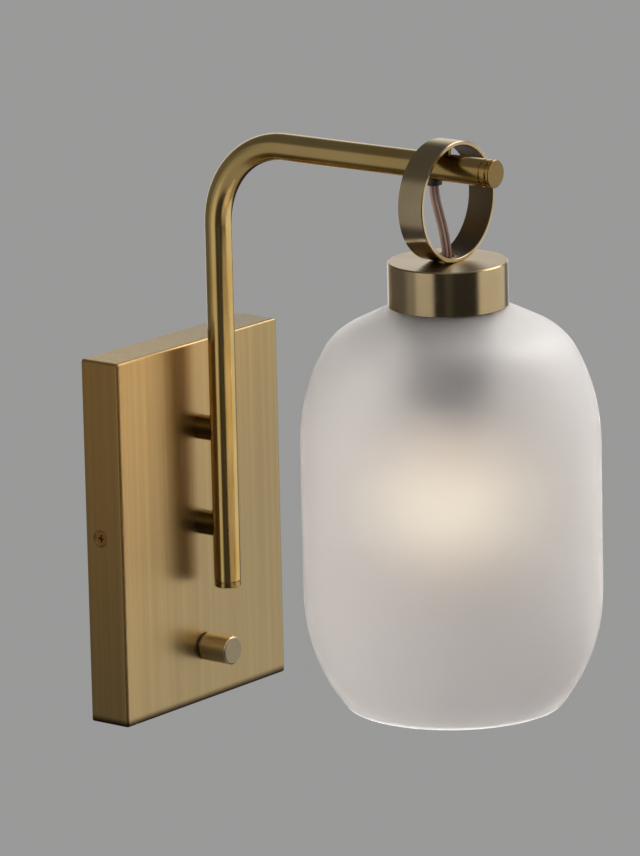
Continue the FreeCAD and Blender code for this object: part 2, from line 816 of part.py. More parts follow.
def holder_body():
    """Lower half: flange on the glass, threaded barrel, a floor and the mouth for the bulb."""
    inner = holder_radius - holder_wall
    edge = holder_mouth_edge
    flange = holder_flange / 2
    shape = [(0, floor_under), (inner, floor_under), (inner, holder_mouth),
             (holder_radius - edge, holder_mouth), (holder_radius, holder_mouth + edge),
             (holder_radius, gasket_top), (flange, gasket_top), (flange, holder_top),
             (inner, holder_top), (inner, floor_top), (0, floor_top)]
    body = turned(shape, V(0, lamp_y, 0))
    depth = terminal_screw_depth + seat_gap
    for side in (-1, 1):
        hole = V(side * terminal_screw_spread / 2, lamp_y, floor_top)
        body = body.cut(rod(terminal_screw_thread + 2 * seat_gap, depth, hole, DOWN))
    return body


def holder_shell():
    """Thin screw shell, drawn at its thread's inner size, with a turned-in top on the holder's floor."""
    inner = shell_radius
    outer = inner + shell_wall
    low = floor_under - shell_height
    window = shell_window / 2
    under = floor_under - shell_wall
    shape = [(window, floor_under), (window, under), (inner, under), (inner, low), (outer, low),
             (outer, floor_under)]
    return turned(shape, V(0, lamp_y, 0))


def holder_contact():
    """Bent spring strip on the holder's floor that presses on the bulb's centre contact."""
    width = contact_strip_width
    thick = contact_strip
    half = contact_strip_length / 2
    drop = floor_under - contact_drop
    shape = [(-half, floor_under), (half, floor_under), (half, floor_under - thick),
             (0, floor_under - thick), (half / 4, drop - thick), (-half / 2, drop - thick),
             (-half / 2, drop), (-half / 4, drop), (-half / 2, floor_under - thick),
             (-half, floor_under - thick)]
    strip = outline(shape).extrude(V(0, width, 0))
    strip.translate(V(0, lamp_y - width / 2, 0))
    return strip


def holder_screws():
    """Terminal screws on the floor of the upper chamber, one for each core."""
    solids = []
    for side in (-1, 1):
        place = V(side * terminal_screw_spread / 2, lamp_y, floor_top)
        solids.append(slotted_screw(terminal_screw_head, terminal_screw_head_height,
                                    terminal_screw_thread, terminal_screw_depth,
                                    terminal_slot_width, terminal_slot_depth, place, UP))
    return group(solids)


def shade_gasket():
    inner = holder_diameter + 2 * seat_gap
    return washer(holder_flange, inner, gasket_height, V(0, lamp_y, glass_top), UP)


def shade_ring():
    """Threaded ring that clamps the glass from inside, with finger notches round its flange."""
    bore = holder_radius + seat_gap
    collar = shade_ring_collar / 2
    flange = shade_ring_flange / 2
    top = glass_under
    low = top - shade_ring_height
    shape = [(bore, low), (collar, low), (collar, top - shade_ring_flange_height),
             (flange, top - shade_ring_flange_height), (flange, top), (bore, top)]
    body = turned(shape, V(0, lamp_y, 0))
    for i in range(shade_ring_notches):
        angle = 2 * math.pi * i / shade_ring_notches
        edge = V(collar * math.cos(angle), lamp_y + collar * math.sin(angle), low - cut_over)
        length = shade_ring_height - shade_ring_flange_height + cut_over
        body = body.cut(rod(shade_ring_notch, length, edge, UP))
    return body


def on_circle(center, radius, angle):
    return (center[0] + radius * math.cos(angle), center[1] + radius * math.sin(angle))


def along_arc(center, radius, start, end, count):
    """Evenly spaced points of an arc, past its start and up to its end."""
    return [on_circle(center, radius, start + (end - start) * i / count) for i in range(1, count + 1)]


def shade_side(inset):
    """Glass wall from the flat top to the rim, at a depth inside its outer face, and where its rim turns."""
    wall_radius = shade_diameter / 2
    flat_edge = (shade_flat_diameter / 2, glass_top)
    cone_normal = math.radians(90 - shade_crown_slope)
    upper_z = glass_top - shade_upper_drop
    lower_z = upper_z - shade_straight
    rim_z = glass_top - shade_length
    upper = (wall_radius - shade_upper_radius, upper_z)
    lower = (wall_radius - shade_lower_radius, lower_z)
    offset = ((upper[0] - flat_edge[0]) * math.cos(cone_normal)
              + (upper[1] - flat_edge[1]) * math.sin(cone_normal))
    spare = shade_upper_radius - shade_corner_radius
    meet = cone_normal - math.acos((-shade_corner_radius - offset) / spare)
    corner = on_circle(upper, spare, meet)
    end = -math.asin((lower_z - rim_z) / shade_lower_radius)
    cone_top_r = flat_edge[0] - inset * math.tan(math.radians(shade_crown_slope) / 2)
    side = [(cone_top_r, glass_top - inset), on_circle(corner, shade_corner_radius - inset, cone_normal)]
    side += along_arc(corner, shade_corner_radius - inset, cone_normal, meet, shade_chords)
    side += along_arc(upper, shade_upper_radius - inset, meet, 0, shade_chords)
    side.append((wall_radius - inset, lower_z))
    side += along_arc(lower, shade_lower_radius - inset, 0, end, shade_chords)
    return side, lower, end


def shade():
    """Blown glass capsule, open below, of even wall, with a fire-polished half-round rim."""
    outer, center, end = shade_side(0)
    inner, center, end = shade_side(shade_wall)
    half_wall = shade_wall / 2
    lip_center = on_circle(center, shade_lower_radius - half_wall, end)
    lip = along_arc(lip_center, half_wall, end, end - math.pi, shade_lip_chords)
    hole = shade_hole / 2
    wall = [(hole, glass_top)] + outer + lip[:-1] + inner[::-1] + [(hole, glass_under)]
    return turned(wall, V(0, lamp_y, 0))


def bulb_side(inset):
    """Wall of the bulb from the globe's tip to the neck, at a depth inside its outer face."""
    globe = bulb_diameter / 2
    neck = bulb_neck / 2
    blend = bulb_neck_radius
    rise = math.sqrt((globe + blend) ** 2 - (neck + blend) ** 2)
    neck_z = bulb_rim - bulb_glass
    center = (0, neck_z - rise)
    blend_center = (neck + blend, neck_z)
    lean = math.atan2(rise, neck + blend)
    side = [(0, center[1] - globe + inset)]
    side += along_arc(center, globe - inset, -math.pi / 2, lean, bulb_globe_chords)
    return side + along_arc(blend_center, blend + inset, math.pi + lean, math.pi, bulb_neck_chords)


def bulb_envelope():
    """Thin glass globe with a blended neck, tucked into the screw base."""
    outer = bulb_side(0)
    inner = bulb_side(bulb_glass)
    tuck = bulb_base_diameter / 2 - bulb_base_wall - seat_gap
    end = bulb_rim + bulb_neck_tuck
    collar = [(outer[-1][0], bulb_rim - seat_gap), (tuck, bulb_rim - seat_gap), (tuck, end),
              (tuck - bulb_glass, end), (tuck - bulb_glass, inner[-1][1])]
    return turned(outer + collar + inner[::-1], V(0, lamp_y, 0))


def stem_end():
    return bulb_rim + bulb_neck_tuck - stem_length


def bulb_stem():
    """Glass stem sealed into the neck: a flare at the top and a pressed end that holds the leads."""
    seal = bulb_base_diameter / 2 - bulb_base_wall - bulb_glass - 2 * seat_gap
    top = bulb_rim + bulb_neck_tuck
    low = stem_end()
    press = stem_press / 2
    steps = [(0, low), (press, low), (press, top - stem_press), (seal, top - bulb_glass),
             (seal, top), (0, top)]
    return turned(steps, V(0, lamp_y, 0))


def bulb_filament():
    """Leads and filament of the bulb, one fine wire from the stem's press and back to it."""
    low = stem_end() - seat_gap
    deep = low - filament_drop
    points = [V(-filament_feet, lamp_y, low), V(-filament_spread, lamp_y, deep),
              V(filament_spread, lamp_y, deep), V(filament_feet, lamp_y, low)]
    wire = swept_rod(filament_wire / 2, rounded_path(points, [filament_turn] * 2))
    middle = V(0, lamp_y, low + filament_spread / 2)
    return wire.cut(box(2 * filament_spread, filament_spread, filament_spread, middle))


def bulb_base():
    """Screw base: a thin shell drawn at its thread's outer size, drawn in at the top."""
    radius = bulb_base_diameter / 2
    wall = bulb_base_wall
    top = bulb_rim + bulb_base_height
    shoulder = top - bulb_base_shoulder
    neck = bulb_insulator_foot / 2
    steps = [(radius, bulb_rim), (radius, shoulder), (neck, top), (neck - wall, top),
             (radius - wall, shoulder - wall), (radius - wall, bulb_rim)]
    return turned(steps, V(0, lamp_y, 0))


def bulb_insulator():
    """Dark glass cone between the screw shell and the centre contact."""
    low = bulb_rim + bulb_base_height
    top = low + bulb_insulator_height
    steps = [(0, low), (bulb_insulator_foot / 2, low), (bulb_insulator_top / 2, top), (0, top)]
    return turned(steps, V(0, lamp_y, 0))


def bulb_contact():
    """Soldered centre contact, slightly domed."""
    low = bulb_rim + bulb_base_height + bulb_insulator_height
    radius = bulb_contact_diameter / 2
    top = bulb_top
    steps = [(0, low), (radius, low), (radius, low + bulb_contact_height / 2),
             (radius * dome_share, top), (0, top)]
    return turned(steps, V(0, lamp_y, 0))


def dimmer_body():
    """Moulded dimmer housing behind the plate, with a threaded bushing and three solder tags."""
    center = V(0, dimmer_y + dimmer_depth / 2, dimmer_z)
    body = box(dimmer_width, dimmer_depth, dimmer_height, center)
    body = body.makeFillet(dimmer_edge, edges_along(body, IN))
    face = box(dimmer_width - 2 * dimmer_edge, dimmer_face, dimmer_height - 2 * dimmer_edge,
               V(0, plate_inner + dimmer_face / 2, dimmer_z))
    bushing = rod(dimmer_thread, plate_sheet + dimmer_face + dimmer_thread_length,
                  V(0, dimmer_y, dimmer_z), OUT)
    body = body.fuse([face, bushing])
    for i in (-1, 0, 1):
        tag = V(i * dimmer_tag_pitch, dimmer_y + dimmer_depth + dimmer_tag_length / 2, dimmer_z)
        body = body.fuse(box(dimmer_tag_height, dimmer_tag_length, dimmer_tag_width, tag))
    bore = shaft_sunk + plate_sheet + dimmer_face + dimmer_thread_length + seat_gap
    start = V(0, dimmer_y + shaft_sunk + seat_gap, dimmer_z)
    return body.cut(rod(shaft_diameter + 2 * running_gap, bore + seat_gap, start, OUT))


def dimmer_washer_piece():
    return washer(dimmer_washer, dimmer_thread + 2 * seat_gap, dimmer_washer_height,
                  V(0, plate_face, dimmer_z), OUT)


def dimmer_nut():
    return nut(dimmer_nut_flats, dimmer_thread + 2 * seat_gap, dimmer_nut_height, nut_chamfer / 2,
               V(0, plate_face - dimmer_washer_height, dimmer_z), OUT)


def d_bar(diameter, start, length, flat_from):
    """Round bar with a flat cut along it, starting a given way along."""
    bar = rod(diameter, length, start, OUT)
    radius = diameter / 2
    flat_length = length - flat_from
    flat = box(diameter, flat_length, radius,
               start + OUT * (flat_from + flat_length / 2) + UP * (radius - shaft_flat_depth + radius / 2))
    return bar.cut(flat)


def dimmer_shaft():
    """Turning shaft with a flat for the knob."""
    start = V(0, dimmer_y + shaft_sunk, dimmer_z)
    to_thread_end = start.y - thread_end
    return d_bar(shaft_diameter, start, to_thread_end + shaft_length, to_thread_end)


def knob():
    """Plain turned knob: chamfered face, recess over the nut and a flatted bore for the shaft."""
    radius = knob_diameter / 2
    edge = knob_chamfer
    shape = [(0, 0), (radius - edge / 2, 0), (radius, edge / 2), (radius, knob_length - edge),
             (radius - edge, knob_length), (0, knob_length)]
    body = turned(shape, V(0, knob_back, dimmer_z), OUT)
    body = body.cut(rod(knob_recess, knob_recess_depth, V(0, knob_back, dimmer_z), OUT))
    bore_start = V(0, knob_back - knob_recess_depth, dimmer_z)
    shaft_end = thread_end - shaft_length
    depth = bore_start.y - shaft_end + seat_gap
    return body.cut(d_bar(shaft_diameter + 2 * seat_gap, bore_start, depth, 0))


PIECES = {
    "backplate_cover": backplate_cover,
    "wall_bracket": wall_bracket,
    "side_screws": side_screws,
    "ground_screw": ground_screw,
    "terminal_block": terminal_block,
    "terminal_sleeves": terminal_sleeves,
    "terminal_screws": terminal_screws,
    "block_fixing": block_fixing,
    "arm_tube": arm_tube,
    "upper_standoff": lambda: standoff(upper_standoff_height),
    "lower_standoff": lambda: standoff(lower_standoff_height),
    "standoff_washers": standoff_washers,
    "standoff_nuts": standoff_nuts,
    "lower_end_plug": lower_end_plug,
    "front_end_plug": front_end_plug,
    "ring": ring,
    "ring_stud": ring_stud,
    "stud_nut": stud_nut,
    "cord_bushing": cord_bushing,
    "lamp_cord": lamp_cord,
    "ring_nipple": ring_nipple,
    "cap_washer": cap_washer,
    "cap_nut": cap_nut,
    "cap": cap,
    "holder_cap": holder_cap,
    "holder_body": holder_body,
    "holder_shell": holder_shell,
    "holder_contact": holder_contact,
    "holder_screws": holder_screws,
    "shade_gasket": shade_gasket,
    "shade": shade,
    "shade_ring": shade_ring,
    "bulb_envelope": bulb_envelope,
    "bulb_stem": bulb_stem,
    "bulb_filament": bulb_filament,
    "bulb_base": bulb_base,
    "bulb_insulator": bulb_insulator,
    "bulb_contact": bulb_contact,
    "dimmer_body": dimmer_body,
    "dimmer_washer": dimmer_washer_piece,
    "dimmer_nut": dimmer_nut,
    "dimmer_shaft": dimmer_shaft,
    "knob": knob,
}

os.makedirs("parts", exist_ok=True)
for name, build in PIECES.items():
    build().exportStep("parts/" + name + ".step")
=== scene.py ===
import math

import bmesh
import bpy
from mathutils import Matrix, Vector


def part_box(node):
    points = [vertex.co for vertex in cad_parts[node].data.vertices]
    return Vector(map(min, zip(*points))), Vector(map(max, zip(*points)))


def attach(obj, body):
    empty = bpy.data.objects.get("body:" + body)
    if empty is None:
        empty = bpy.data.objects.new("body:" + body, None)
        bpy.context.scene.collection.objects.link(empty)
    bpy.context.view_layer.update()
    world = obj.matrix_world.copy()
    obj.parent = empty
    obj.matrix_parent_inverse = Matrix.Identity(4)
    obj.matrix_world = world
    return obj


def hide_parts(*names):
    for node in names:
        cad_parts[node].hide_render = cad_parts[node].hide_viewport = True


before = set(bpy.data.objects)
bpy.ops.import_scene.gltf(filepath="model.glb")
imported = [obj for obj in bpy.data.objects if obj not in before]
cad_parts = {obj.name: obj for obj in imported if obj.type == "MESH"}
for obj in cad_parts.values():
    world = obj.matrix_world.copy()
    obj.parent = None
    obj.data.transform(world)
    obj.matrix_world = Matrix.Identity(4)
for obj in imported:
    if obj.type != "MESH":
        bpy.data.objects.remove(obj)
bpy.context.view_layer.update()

bl_info = {
    "name": "Wall lamp finisher",
    "version": (1, 0, 0),
    "blender": (4, 5, 0),
    "location": "View3D > Sidebar > Wall lamp",
    "description": "Dresses a brass wall lamp with a frosted glass shade and sets up its studio",
    "category": "Object",
}

MM = 0.001
# To the right as one faces the wall, into the wall, and up.
SIDEWAYS = Vector((1.0, 0.0, 0.0))
INWARD = Vector((0.0, 1.0, 0.0))
UPRIGHT = Vector((0.0, 0.0, 1.0))

# Distances from a face at which a tint or painted shade, a painted glow or a change of roughness starts and
# is full.
PLATE_SIDE_SHADE_FADE = (0.9 * MM, 0.1 * MM)
PLATE_CORNER_FADE = (1.9 * MM, 1.0 * MM)
PLATE_FLAT_FADE = (0.12 * MM, 0.02 * MM)
PLATE_FOOT_SHADE_FADE = (4.5 * MM, 1.0 * MM)
PLATE_TOP_SHADE_FADE = (-0.12 * MM, -0.02 * MM)
TUBE_END_FADE = (0.4 * MM, 0.1 * MM)
RING_INSIDE_FADE = (0.3 * MM, 0.1 * MM)
CAP_TOP_FADE = (-0.5 * MM, -0.1 * MM)
KNOB_FACE_FADE = (0.7 * MM, 0.1 * MM)
RIM_SMOOTH_FADE = (2.0 * MM, 0.8 * MM)
RIM_GLOW_FADE = (1.2 * MM, 0.4 * MM)
RING_BAND = 2.0 * MM

# Where the painted shade across the plate starts and is full. 0 is the diagonal that rises through the
# plate's middle, and 1 is the lower right corner.
DIAGONAL_SHADE_REACH = (-1.15, 0.35)
# Added roughness on the round of the plate's left edge.
CORNER_BLUR = 0.25

# Steps of the arcs in a profile, rows of its threaded walls, and steps of its full turn.
CORNER_STEPS = 10
SIDE_STEPS = 14
RIM_STEPS = 8
GLOBE_STEPS = 28
SHELL_ROWS = 66
BASE_ROWS = 54
SHADE_TURN = 160
SMALL_TURN = 96
MERGE_DISTANCE = 0.000001
SHARP_ANGLE = math.radians(32.0)

# Parts of a noise's range over which its two tones, and its two values, lie.
TONE_RANGE = (0.35, 0.65)
VALUE_RANGE = (0.3, 0.7)

# Height on the bulb as a share of the way from its tip to its base, strength of the glow there, and the
# setting that has its colour.
GLOW_STOPS = (
    (0.0, 0.2, "edge_tint"),
    (0.16, 0.6, "edge_tint"),
    (0.32, 1.0, "tint"),
    (0.5, 1.0, "tint"),
    (0.66, 0.6, "edge_tint"),
    (0.85, 0.04, "edge_tint"),
)

# Tone of the surroundings that metal mirrors, and round patches painted over it one after another.
# A patch has the azimuth and height of its middle, its radius and the softness of its edge, all in
# degrees, and its tone.
MOOD = 0.31
PATCHES = (
    (-170, -5, 30, 10, 0.14),
    (180, 53, 39, 7, 0.10),
    (-154, -54, 20, 8, 0.06),
    (126, -4, 26, 8, 0.90),
    (46, 4, 42, 7, 0.82),
    (102, -37, 25, 7, 0.02),
    (-39, -4, 45, 6, 0.04),
    (-52, 0, 11, 5, 0.13),
    (-99, -8, 18, 5, 0.62),
    (73, 41, 15, 5, 3.10),
    (-48, 24, 14, 5, 0.55),
    (4, 54, 18, 5, 0.12),
    (8, -50, 20, 6, 0.06),
)

# Place of each lamp, its width and height, and its colour. Its power is the setting of the same name.
LAMPS = {
    "key": ((1.35, -0.45, 1.10), (1.6, 1.4), (1.0, 0.99, 0.97)),
    "fill": ((-1.30, 1.10, 0.35), (0.7, 1.2), (1.0, 0.97, 0.94)),
    "top": ((0.3, -0.4, 1.6), (1.0, 1.0), (1.0, 1.0, 1.0)),
}
LAMP_AIM = Vector((0.0, -0.1, 0.05))
FLOOR_SIZE = 20.0
# Tone of the floor seen through glass, as a share of the surroundings' tone.
FLOOR_THROUGH_GLASS = 0.9
# Width of the camera's frame in millimetres, and the nearest and farthest distance that it shows.
FRAME_WIDTH = 36.0
NEAREST_SEEN = 0.05
FARTHEST_SEEN = 60.0

shade_low, shade_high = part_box("shade")
lamp_axis = (shade_low + shade_high) / 2
plate_low, plate_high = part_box("backplate_cover")
base_low, base_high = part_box("bulb_base")


def colour_setting(title, words, default):
    return bpy.props.FloatVectorProperty(name=title, description=words, subtype="COLOR", size=3, min=0.0,
                                         max=1.0, default=default)


def length_setting(title, words, default):
    return bpy.props.FloatProperty(name=title, description=words, unit="LENGTH", min=0.0, precision=5,
                                   default=default)


def share_setting(title, words, default):
    return bpy.props.FloatProperty(name=title, description=words, subtype="FACTOR", min=0.0, max=1.0,
                                   default=default)


def angle_setting(title, words, degrees):
    return bpy.props.FloatProperty(name=title, description=words, subtype="ANGLE",
                                   default=math.radians(degrees))


def power_setting(title, words, default):
    return bpy.props.FloatProperty(name=title, description=words, unit="POWER", default=default)


class BrassSettings(bpy.types.PropertyGroup):
    """Colours and grain of the brass pieces"""
    plate_light: colour_setting("Plate, light tone", "Lighter tone of the plate", (0.76, 0.485, 0.19))
    plate_dark: colour_setting("Plate, dark tone", "Darker tone of the plate", (0.69, 0.43, 0.165))
    # Painted shade: a tint that darkens the plate towards its lower right corner.
    plate_diagonal_shade: colour_setting("Plate painted shade", "Tint that the plate has towards its lower right corner",
                                 (0.57, 0.67, 0.85))
    # Painted shade: a darker tint on the plate's left side, next to the wall.
    plate_side_shade: colour_setting("Plate side", "Tint of the plate's left side", (0.60, 0.55, 0.46))
    # Painted shade: a dark tint along the plate's lower edge that widens its dark reflection.
    plate_foot_shade: colour_setting("Plate foot", "Tint of the plate's dark lower edge", (0.13, 0.11, 0.08))
    # Painted shade: a tint that darkens the plate's top face.
    plate_top_shade: colour_setting("Plate top", "Tint of the plate's top", (0.70, 0.73, 0.56))
    tube_light: colour_setting("Tube, light tone", "Lighter tone of the tube", (0.73, 0.52, 0.21))
    tube_dark: colour_setting("Tube, dark tone", "Darker tone of the tube", (0.64, 0.42, 0.13))
    cap_light: colour_setting("Cap, light tone", "Lighter tone of ring and cap", (0.60, 0.47, 0.28))
    cap_dark: colour_setting("Cap, dark tone", "Darker tone of ring and cap", (0.49, 0.37, 0.20))
    polished: colour_setting("Polished tone", "Lighter tone of small turned pieces", (0.52, 0.40, 0.22))
    knob: colour_setting("Knob tone", "Lighter tone of the knob's side", (1.0, 0.80, 0.46))
    knob_face: colour_setting("Knob face", "Tint of the knob's end face", (0.37, 0.37, 0.40))
    # Darkens end faces, and paints shade inside the ring.
    aged: colour_setting("Darkening and painted shade", "Tint of end faces and of the ring's inside", (0.30, 0.29, 0.30))
    grain_depth: length_setting("Grain depth", "Depth of the brushing", 0.000012)
    plate_roughness: share_setting("Plate roughness", "How far the plate blurs what it mirrors", 0.32)
    tube_roughness: share_setting("Tube roughness", "How far tube and ring blur what they mirror", 0.19)
    cap_roughness: share_setting("Cap roughness", "How far the cap blurs what it mirrors", 0.15)


class GlassSettings(bpy.types.PropertyGroup):
    """Glass of the shade"""
    tint: colour_setting("Glass tint", "Colour of the frosted glass", (0.965, 0.94, 0.925))
    side_tint: colour_setting("Side tint", "Tint of the glass below its crown", (0.92, 0.92, 0.92))
    rim_tint: colour_setting("Rim colour", "Colour of the light in the rim", (1.0, 0.98, 0.95))
    clearness: share_setting("Clearness", "Share of the light that goes through a face", 0.80)
    frosting: share_setting("Frosting", "How far the frosted crown scatters light", 0.37)
    side_frosting: share_setting("Side frosting", "How far the frosted side scatters light", 0.84)
    bloom: share_setting("Bloom", "Pale sheen of the frosted face where it turns away", 0.06)
    # Painted glow of the rim: emission that stands in for light that the wall leads down.
    painted_rim_glow: share_setting("Rim glow", "Light that the wall leads down to its rim", 0.32)
    wall: length_setting("Wall", "Thickness of the glass", 3.5 * MM)
    hole: length_setting("Hole", "Width of the hole for the lampholder", 41.0 * MM)
    flat: length_setting("Flat top", "Width of the flat top", 50.8 * MM)
    slope: angle_setting("Crown slope", "Slope of the crown below level", 26.1)
    corner: length_setting("Corner radius", "Radius between crown and side", 30.5 * MM)
    upper: length_setting("Upper radius", "Radius of the upper side", 90.4 * MM)
    upper_drop: length_setting("Upper drop", "From the flat top to the straight side", 65.6 * MM)
    straight: length_setting("Straight side", "Height of the straight side", 71.6 * MM)
    lower: length_setting("Lower radius", "Radius of the lower side", 85.0 * MM)


class BulbSettings(bpy.types.PropertyGroup):
    """Globe, light and rolled thread of the bulb"""
    neck: length_setting("Neck", "Width of the neck", 26.6 * MM)
    neck_bend: length_setting("Neck bend", "Radius between globe and neck", 45.0 * MM)
    wall: length_setting("Wall", "Thickness of the glass", 0.9 * MM)
    pitch: length_setting("Pitch", "Rise of the thread in one turn", 3.63 * MM)
    depth: length_setting("Depth", "Depth of the thread", 0.75 * MM)
    sheet: length_setting("Sheet", "Thickness of the rolled sheet", 0.4 * MM)
    shoulder: length_setting("Shoulder", "Height of the base's drawn-in end", 2.0 * MM)
    window: length_setting("Window", "Width of the hole in the floor of the threaded shell", 12.0 * MM)
    tint: colour_setting("Glow colour", "Colour of the lit bulb at its middle", (1.0, 0.94, 0.70))
    edge_tint: colour_setting("Edge colour", "Colour of the lit bulb above and below its middle",
                              (1.0, 0.70, 0.42))
    glow: bpy.props.FloatProperty(name="Glow", description="Strength of the lit bulb", min=0.0,
                                  default=1.28)


class StudioSettings(bpy.types.PropertyGroup):
    """Camera, floor and lamps"""
    floor: colour_setting("Floor colour", "Colour of the plain floor", (0.60, 0.60, 0.595))
    backdrop: colour_setting("Backdrop colour", "Colour that floor and surroundings show the camera",
                             (0.335, 0.335, 0.332))
    evenness: share_setting("Evenness", "How far the floor hides its own shading from the camera", 0.85)
    drop: length_setting("Floor drop", "Depth of the floor below the lamp's origin", 2.40)
    surround: share_setting("Surround", "Brightness of the surroundings seen through glass", 0.66)
    key: power_setting("Key lamp", "Power of the large lamp on the right", 26.0)
    fill: power_setting("Fill lamp", "Power of the lamp on the left", 19.0)
    top: power_setting("Top lamp", "Power of the lamp overhead", 4.0)
    focal: bpy.props.FloatProperty(name="Focal length", description="Focal length on a 36 mm frame",
                                   unit="CAMERA", default=269.8)
    azimuth: angle_setting("Azimuth", "Side from which the camera looks", -51.70)
    elevation: angle_setting("Elevation", "Height from which the camera looks", 13.486)
    roll: angle_setting("Roll", "Turn of the camera about its own axis", -1.289)
    target: bpy.props.FloatVectorProperty(name="Target", description="Point at the middle of the picture",
                                          subtype="TRANSLATION", unit="LENGTH",
                                          default=(25.33 * MM, -74.95 * MM, 48.0 * MM))
    distance: length_setting("Distance", "From the camera to the target", 3.0625)


def thrice(value):
    """One value three times: a grey, or a grain that is as fine along X, Y and Z."""
    return value, value, value


def toned(colour, share):
    """A colour made darker or lighter by a share."""
    return [part * share for part in colour]


def blank_finish(name):
    """New material with its nodes, links and surface shader."""
    finish = bpy.data.materials.new(name)
    finish.use_nodes = True
    nodes = finish.node_tree.nodes
    return finish, nodes, finish.node_tree.links, nodes["Principled BSDF"]


def grain(nodes, links, patches):
    """Noise on the piece's own coordinates, with so many patches per metre along X, Y and Z."""
    place = nodes.new("ShaderNodeTexCoord")
    spread = nodes.new("ShaderNodeMapping")
    spread.inputs["Scale"].default_value = patches
    noise = nodes.new("ShaderNodeTexNoise")
    noise.inputs["Scale"].default_value = 1.0
    links.new(place.outputs["Object"], spread.inputs["Vector"])
    links.new(spread.outputs["Vector"], noise.inputs["Vector"])
    return noise.outputs["Fac"]


def two_tones(nodes, links, amount, dark, light):
    """Colour between a dark and a light tone."""
    ramp = nodes.new("ShaderNodeValToRGB")
    for stop, position, tone in zip(ramp.color_ramp.elements, TONE_RANGE, (dark, light)):
        stop.position = position
        stop.color = (*tone, 1.0)
    links.new(amount, ramp.inputs["Fac"])
    return ramp.outputs["Color"]


def map_value(nodes, links, amount, source, target=(0.0, 1.0), course="LINEAR"):
    """Carry a value from one range over to another."""
    stretch = nodes.new("ShaderNodeMapRange")
    stretch.interpolation_type = course
    for name, value in zip(("From Min", "From Max", "To Min", "To Max"), (*source, *target)):
        stretch.inputs[name].default_value = value
    links.new(amount, stretch.inputs["Value"])
    return stretch.outputs["Result"]


def spread_value(nodes, links, amount, middle, spread):
    """Let a noise move a value up and down about its middle."""
    return map_value(nodes, links, amount, VALUE_RANGE, (middle - spread, middle + spread))


def with_vector(nodes, links, operation, source, vector, result):
    """One step of arithmetic between a changing vector and a fixed one."""
    step = nodes.new("ShaderNodeVectorMath")
    step.operation = operation
    step.inputs[1].default_value = vector
    links.new(source, step.inputs[0])
    return step.outputs[result]


def times(nodes, links, amount, factor):
    """A changing number times a fixed one."""
    product = nodes.new("ShaderNodeMath")
    product.operation = "MULTIPLY"
    product.inputs[1].default_value = factor
    links.new(amount, product.inputs[0])
    return product.outputs["Value"]


def share_along(finish, start, end):
    """Share from 0 to 1 on the way from one place to another."""
    nodes, links = finish.node_tree.nodes, finish.node_tree.links
    way = end - start
    place = nodes.new("ShaderNodeTexCoord").outputs["Object"]
    along = with_vector(nodes, links, "DOT_PRODUCT", place, way, "Value")
    return map_value(nodes, links, along, (way.dot(start), way.dot(end)), course="SMOOTHSTEP")


def share_near(finish, axis, face, fade):
    """Share from 0 to 1 between two distances from a face that is square to an axis."""
    return share_along(finish, axis * (face + fade[0]), axis * (face + fade[1]))


def share_round(finish, centre, flatten, reach):
    """Share from 0 to 1 between two distances from an axis, whose direction flatten leaves out."""
    nodes, links = finish.node_tree.nodes, finish.node_tree.links
    place = nodes.new("ShaderNodeTexCoord").outputs["Object"]
    flat = with_vector(nodes, links, "MULTIPLY", place, flatten, "Vector")
    away = with_vector(nodes, links, "DISTANCE", flat, centre * flatten, "Value")
    return map_value(nodes, links, away, reach, course="SMOOTHSTEP")


def stain(finish, share, tint=None, rougher=0.0):
    """Tint a finish where the share is high, change its roughness there, or both."""
    nodes, links = finish.node_tree.nodes, finish.node_tree.links
    surface = nodes["Principled BSDF"]
    if tint is not None:
        colour = nodes.new("ShaderNodeMix")
        colour.data_type = "RGBA"
        colour.blend_type = "MULTIPLY"
        colour.inputs["B"].default_value = (*tint, 1.0)
        links.new(share, colour.inputs["Factor"])
        links.new(surface.inputs["Base Color"].links[0].from_socket, colour.inputs["A"])
        links.new(colour.outputs["Result"], surface.inputs["Base Color"])
    if rougher:
        blur = nodes.new("ShaderNodeMath")
        blur.operation = "MULTIPLY_ADD"
        blur.inputs[1].default_value = rougher
        links.new(share, blur.inputs[0])
        links.new(surface.inputs["Roughness"].links[0].from_socket, blur.inputs[2])
        links.new(blur.outputs["Value"], surface.inputs["Roughness"])


def relief(nodes, links, surface, amount, depth):
    """Press a pattern into the surface, to a depth in metres."""
    bump = nodes.new("ShaderNodeBump")
    bump.inputs["Strength"].default_value = 1.0
    bump.inputs["Distance"].default_value = depth
    links.new(amount, bump.inputs["Height"])
    links.new(bump.outputs["Normal"], surface.inputs["Normal"])


def grained_finish(name, dark, light, roughness, spread, clouds, lines, depth):
    """Finish with clouded colour and a fine pattern in its roughness and relief."""
    finish, nodes, links, surface = blank_finish(name)
    cloud = grain(nodes, links, clouds)
    line = grain(nodes, links, lines)
    links.new(two_tones(nodes, links, cloud, dark, light), surface.inputs["Base Color"])
    links.new(spread_value(nodes, links, line, roughness, spread), surface.inputs["Roughness"])
    relief(nodes, links, surface, line, depth)
    return finish, surface


def metal_finish(name, dark, light, roughness, brush, depth, clouds=thrice(22.0), spread=0.045):
    """Metal with clouded colour and fine brushing. The brush is given in grooves per metre."""
    finish, surface = grained_finish(name, dark, light, roughness, spread, clouds, brush, depth)
    surface.inputs["Metallic"].default_value = 1.0
    return finish


def moulded_finish(name, dark, light, roughness, pebbles=1800.0, depth=0.00002):
    """Moulded plastic, rubber or black glass with a faint grain."""
    return grained_finish(name, dark, light, roughness, spread=0.05, clouds=thrice(60.0),
                          lines=thrice(pebbles), depth=depth)[0]


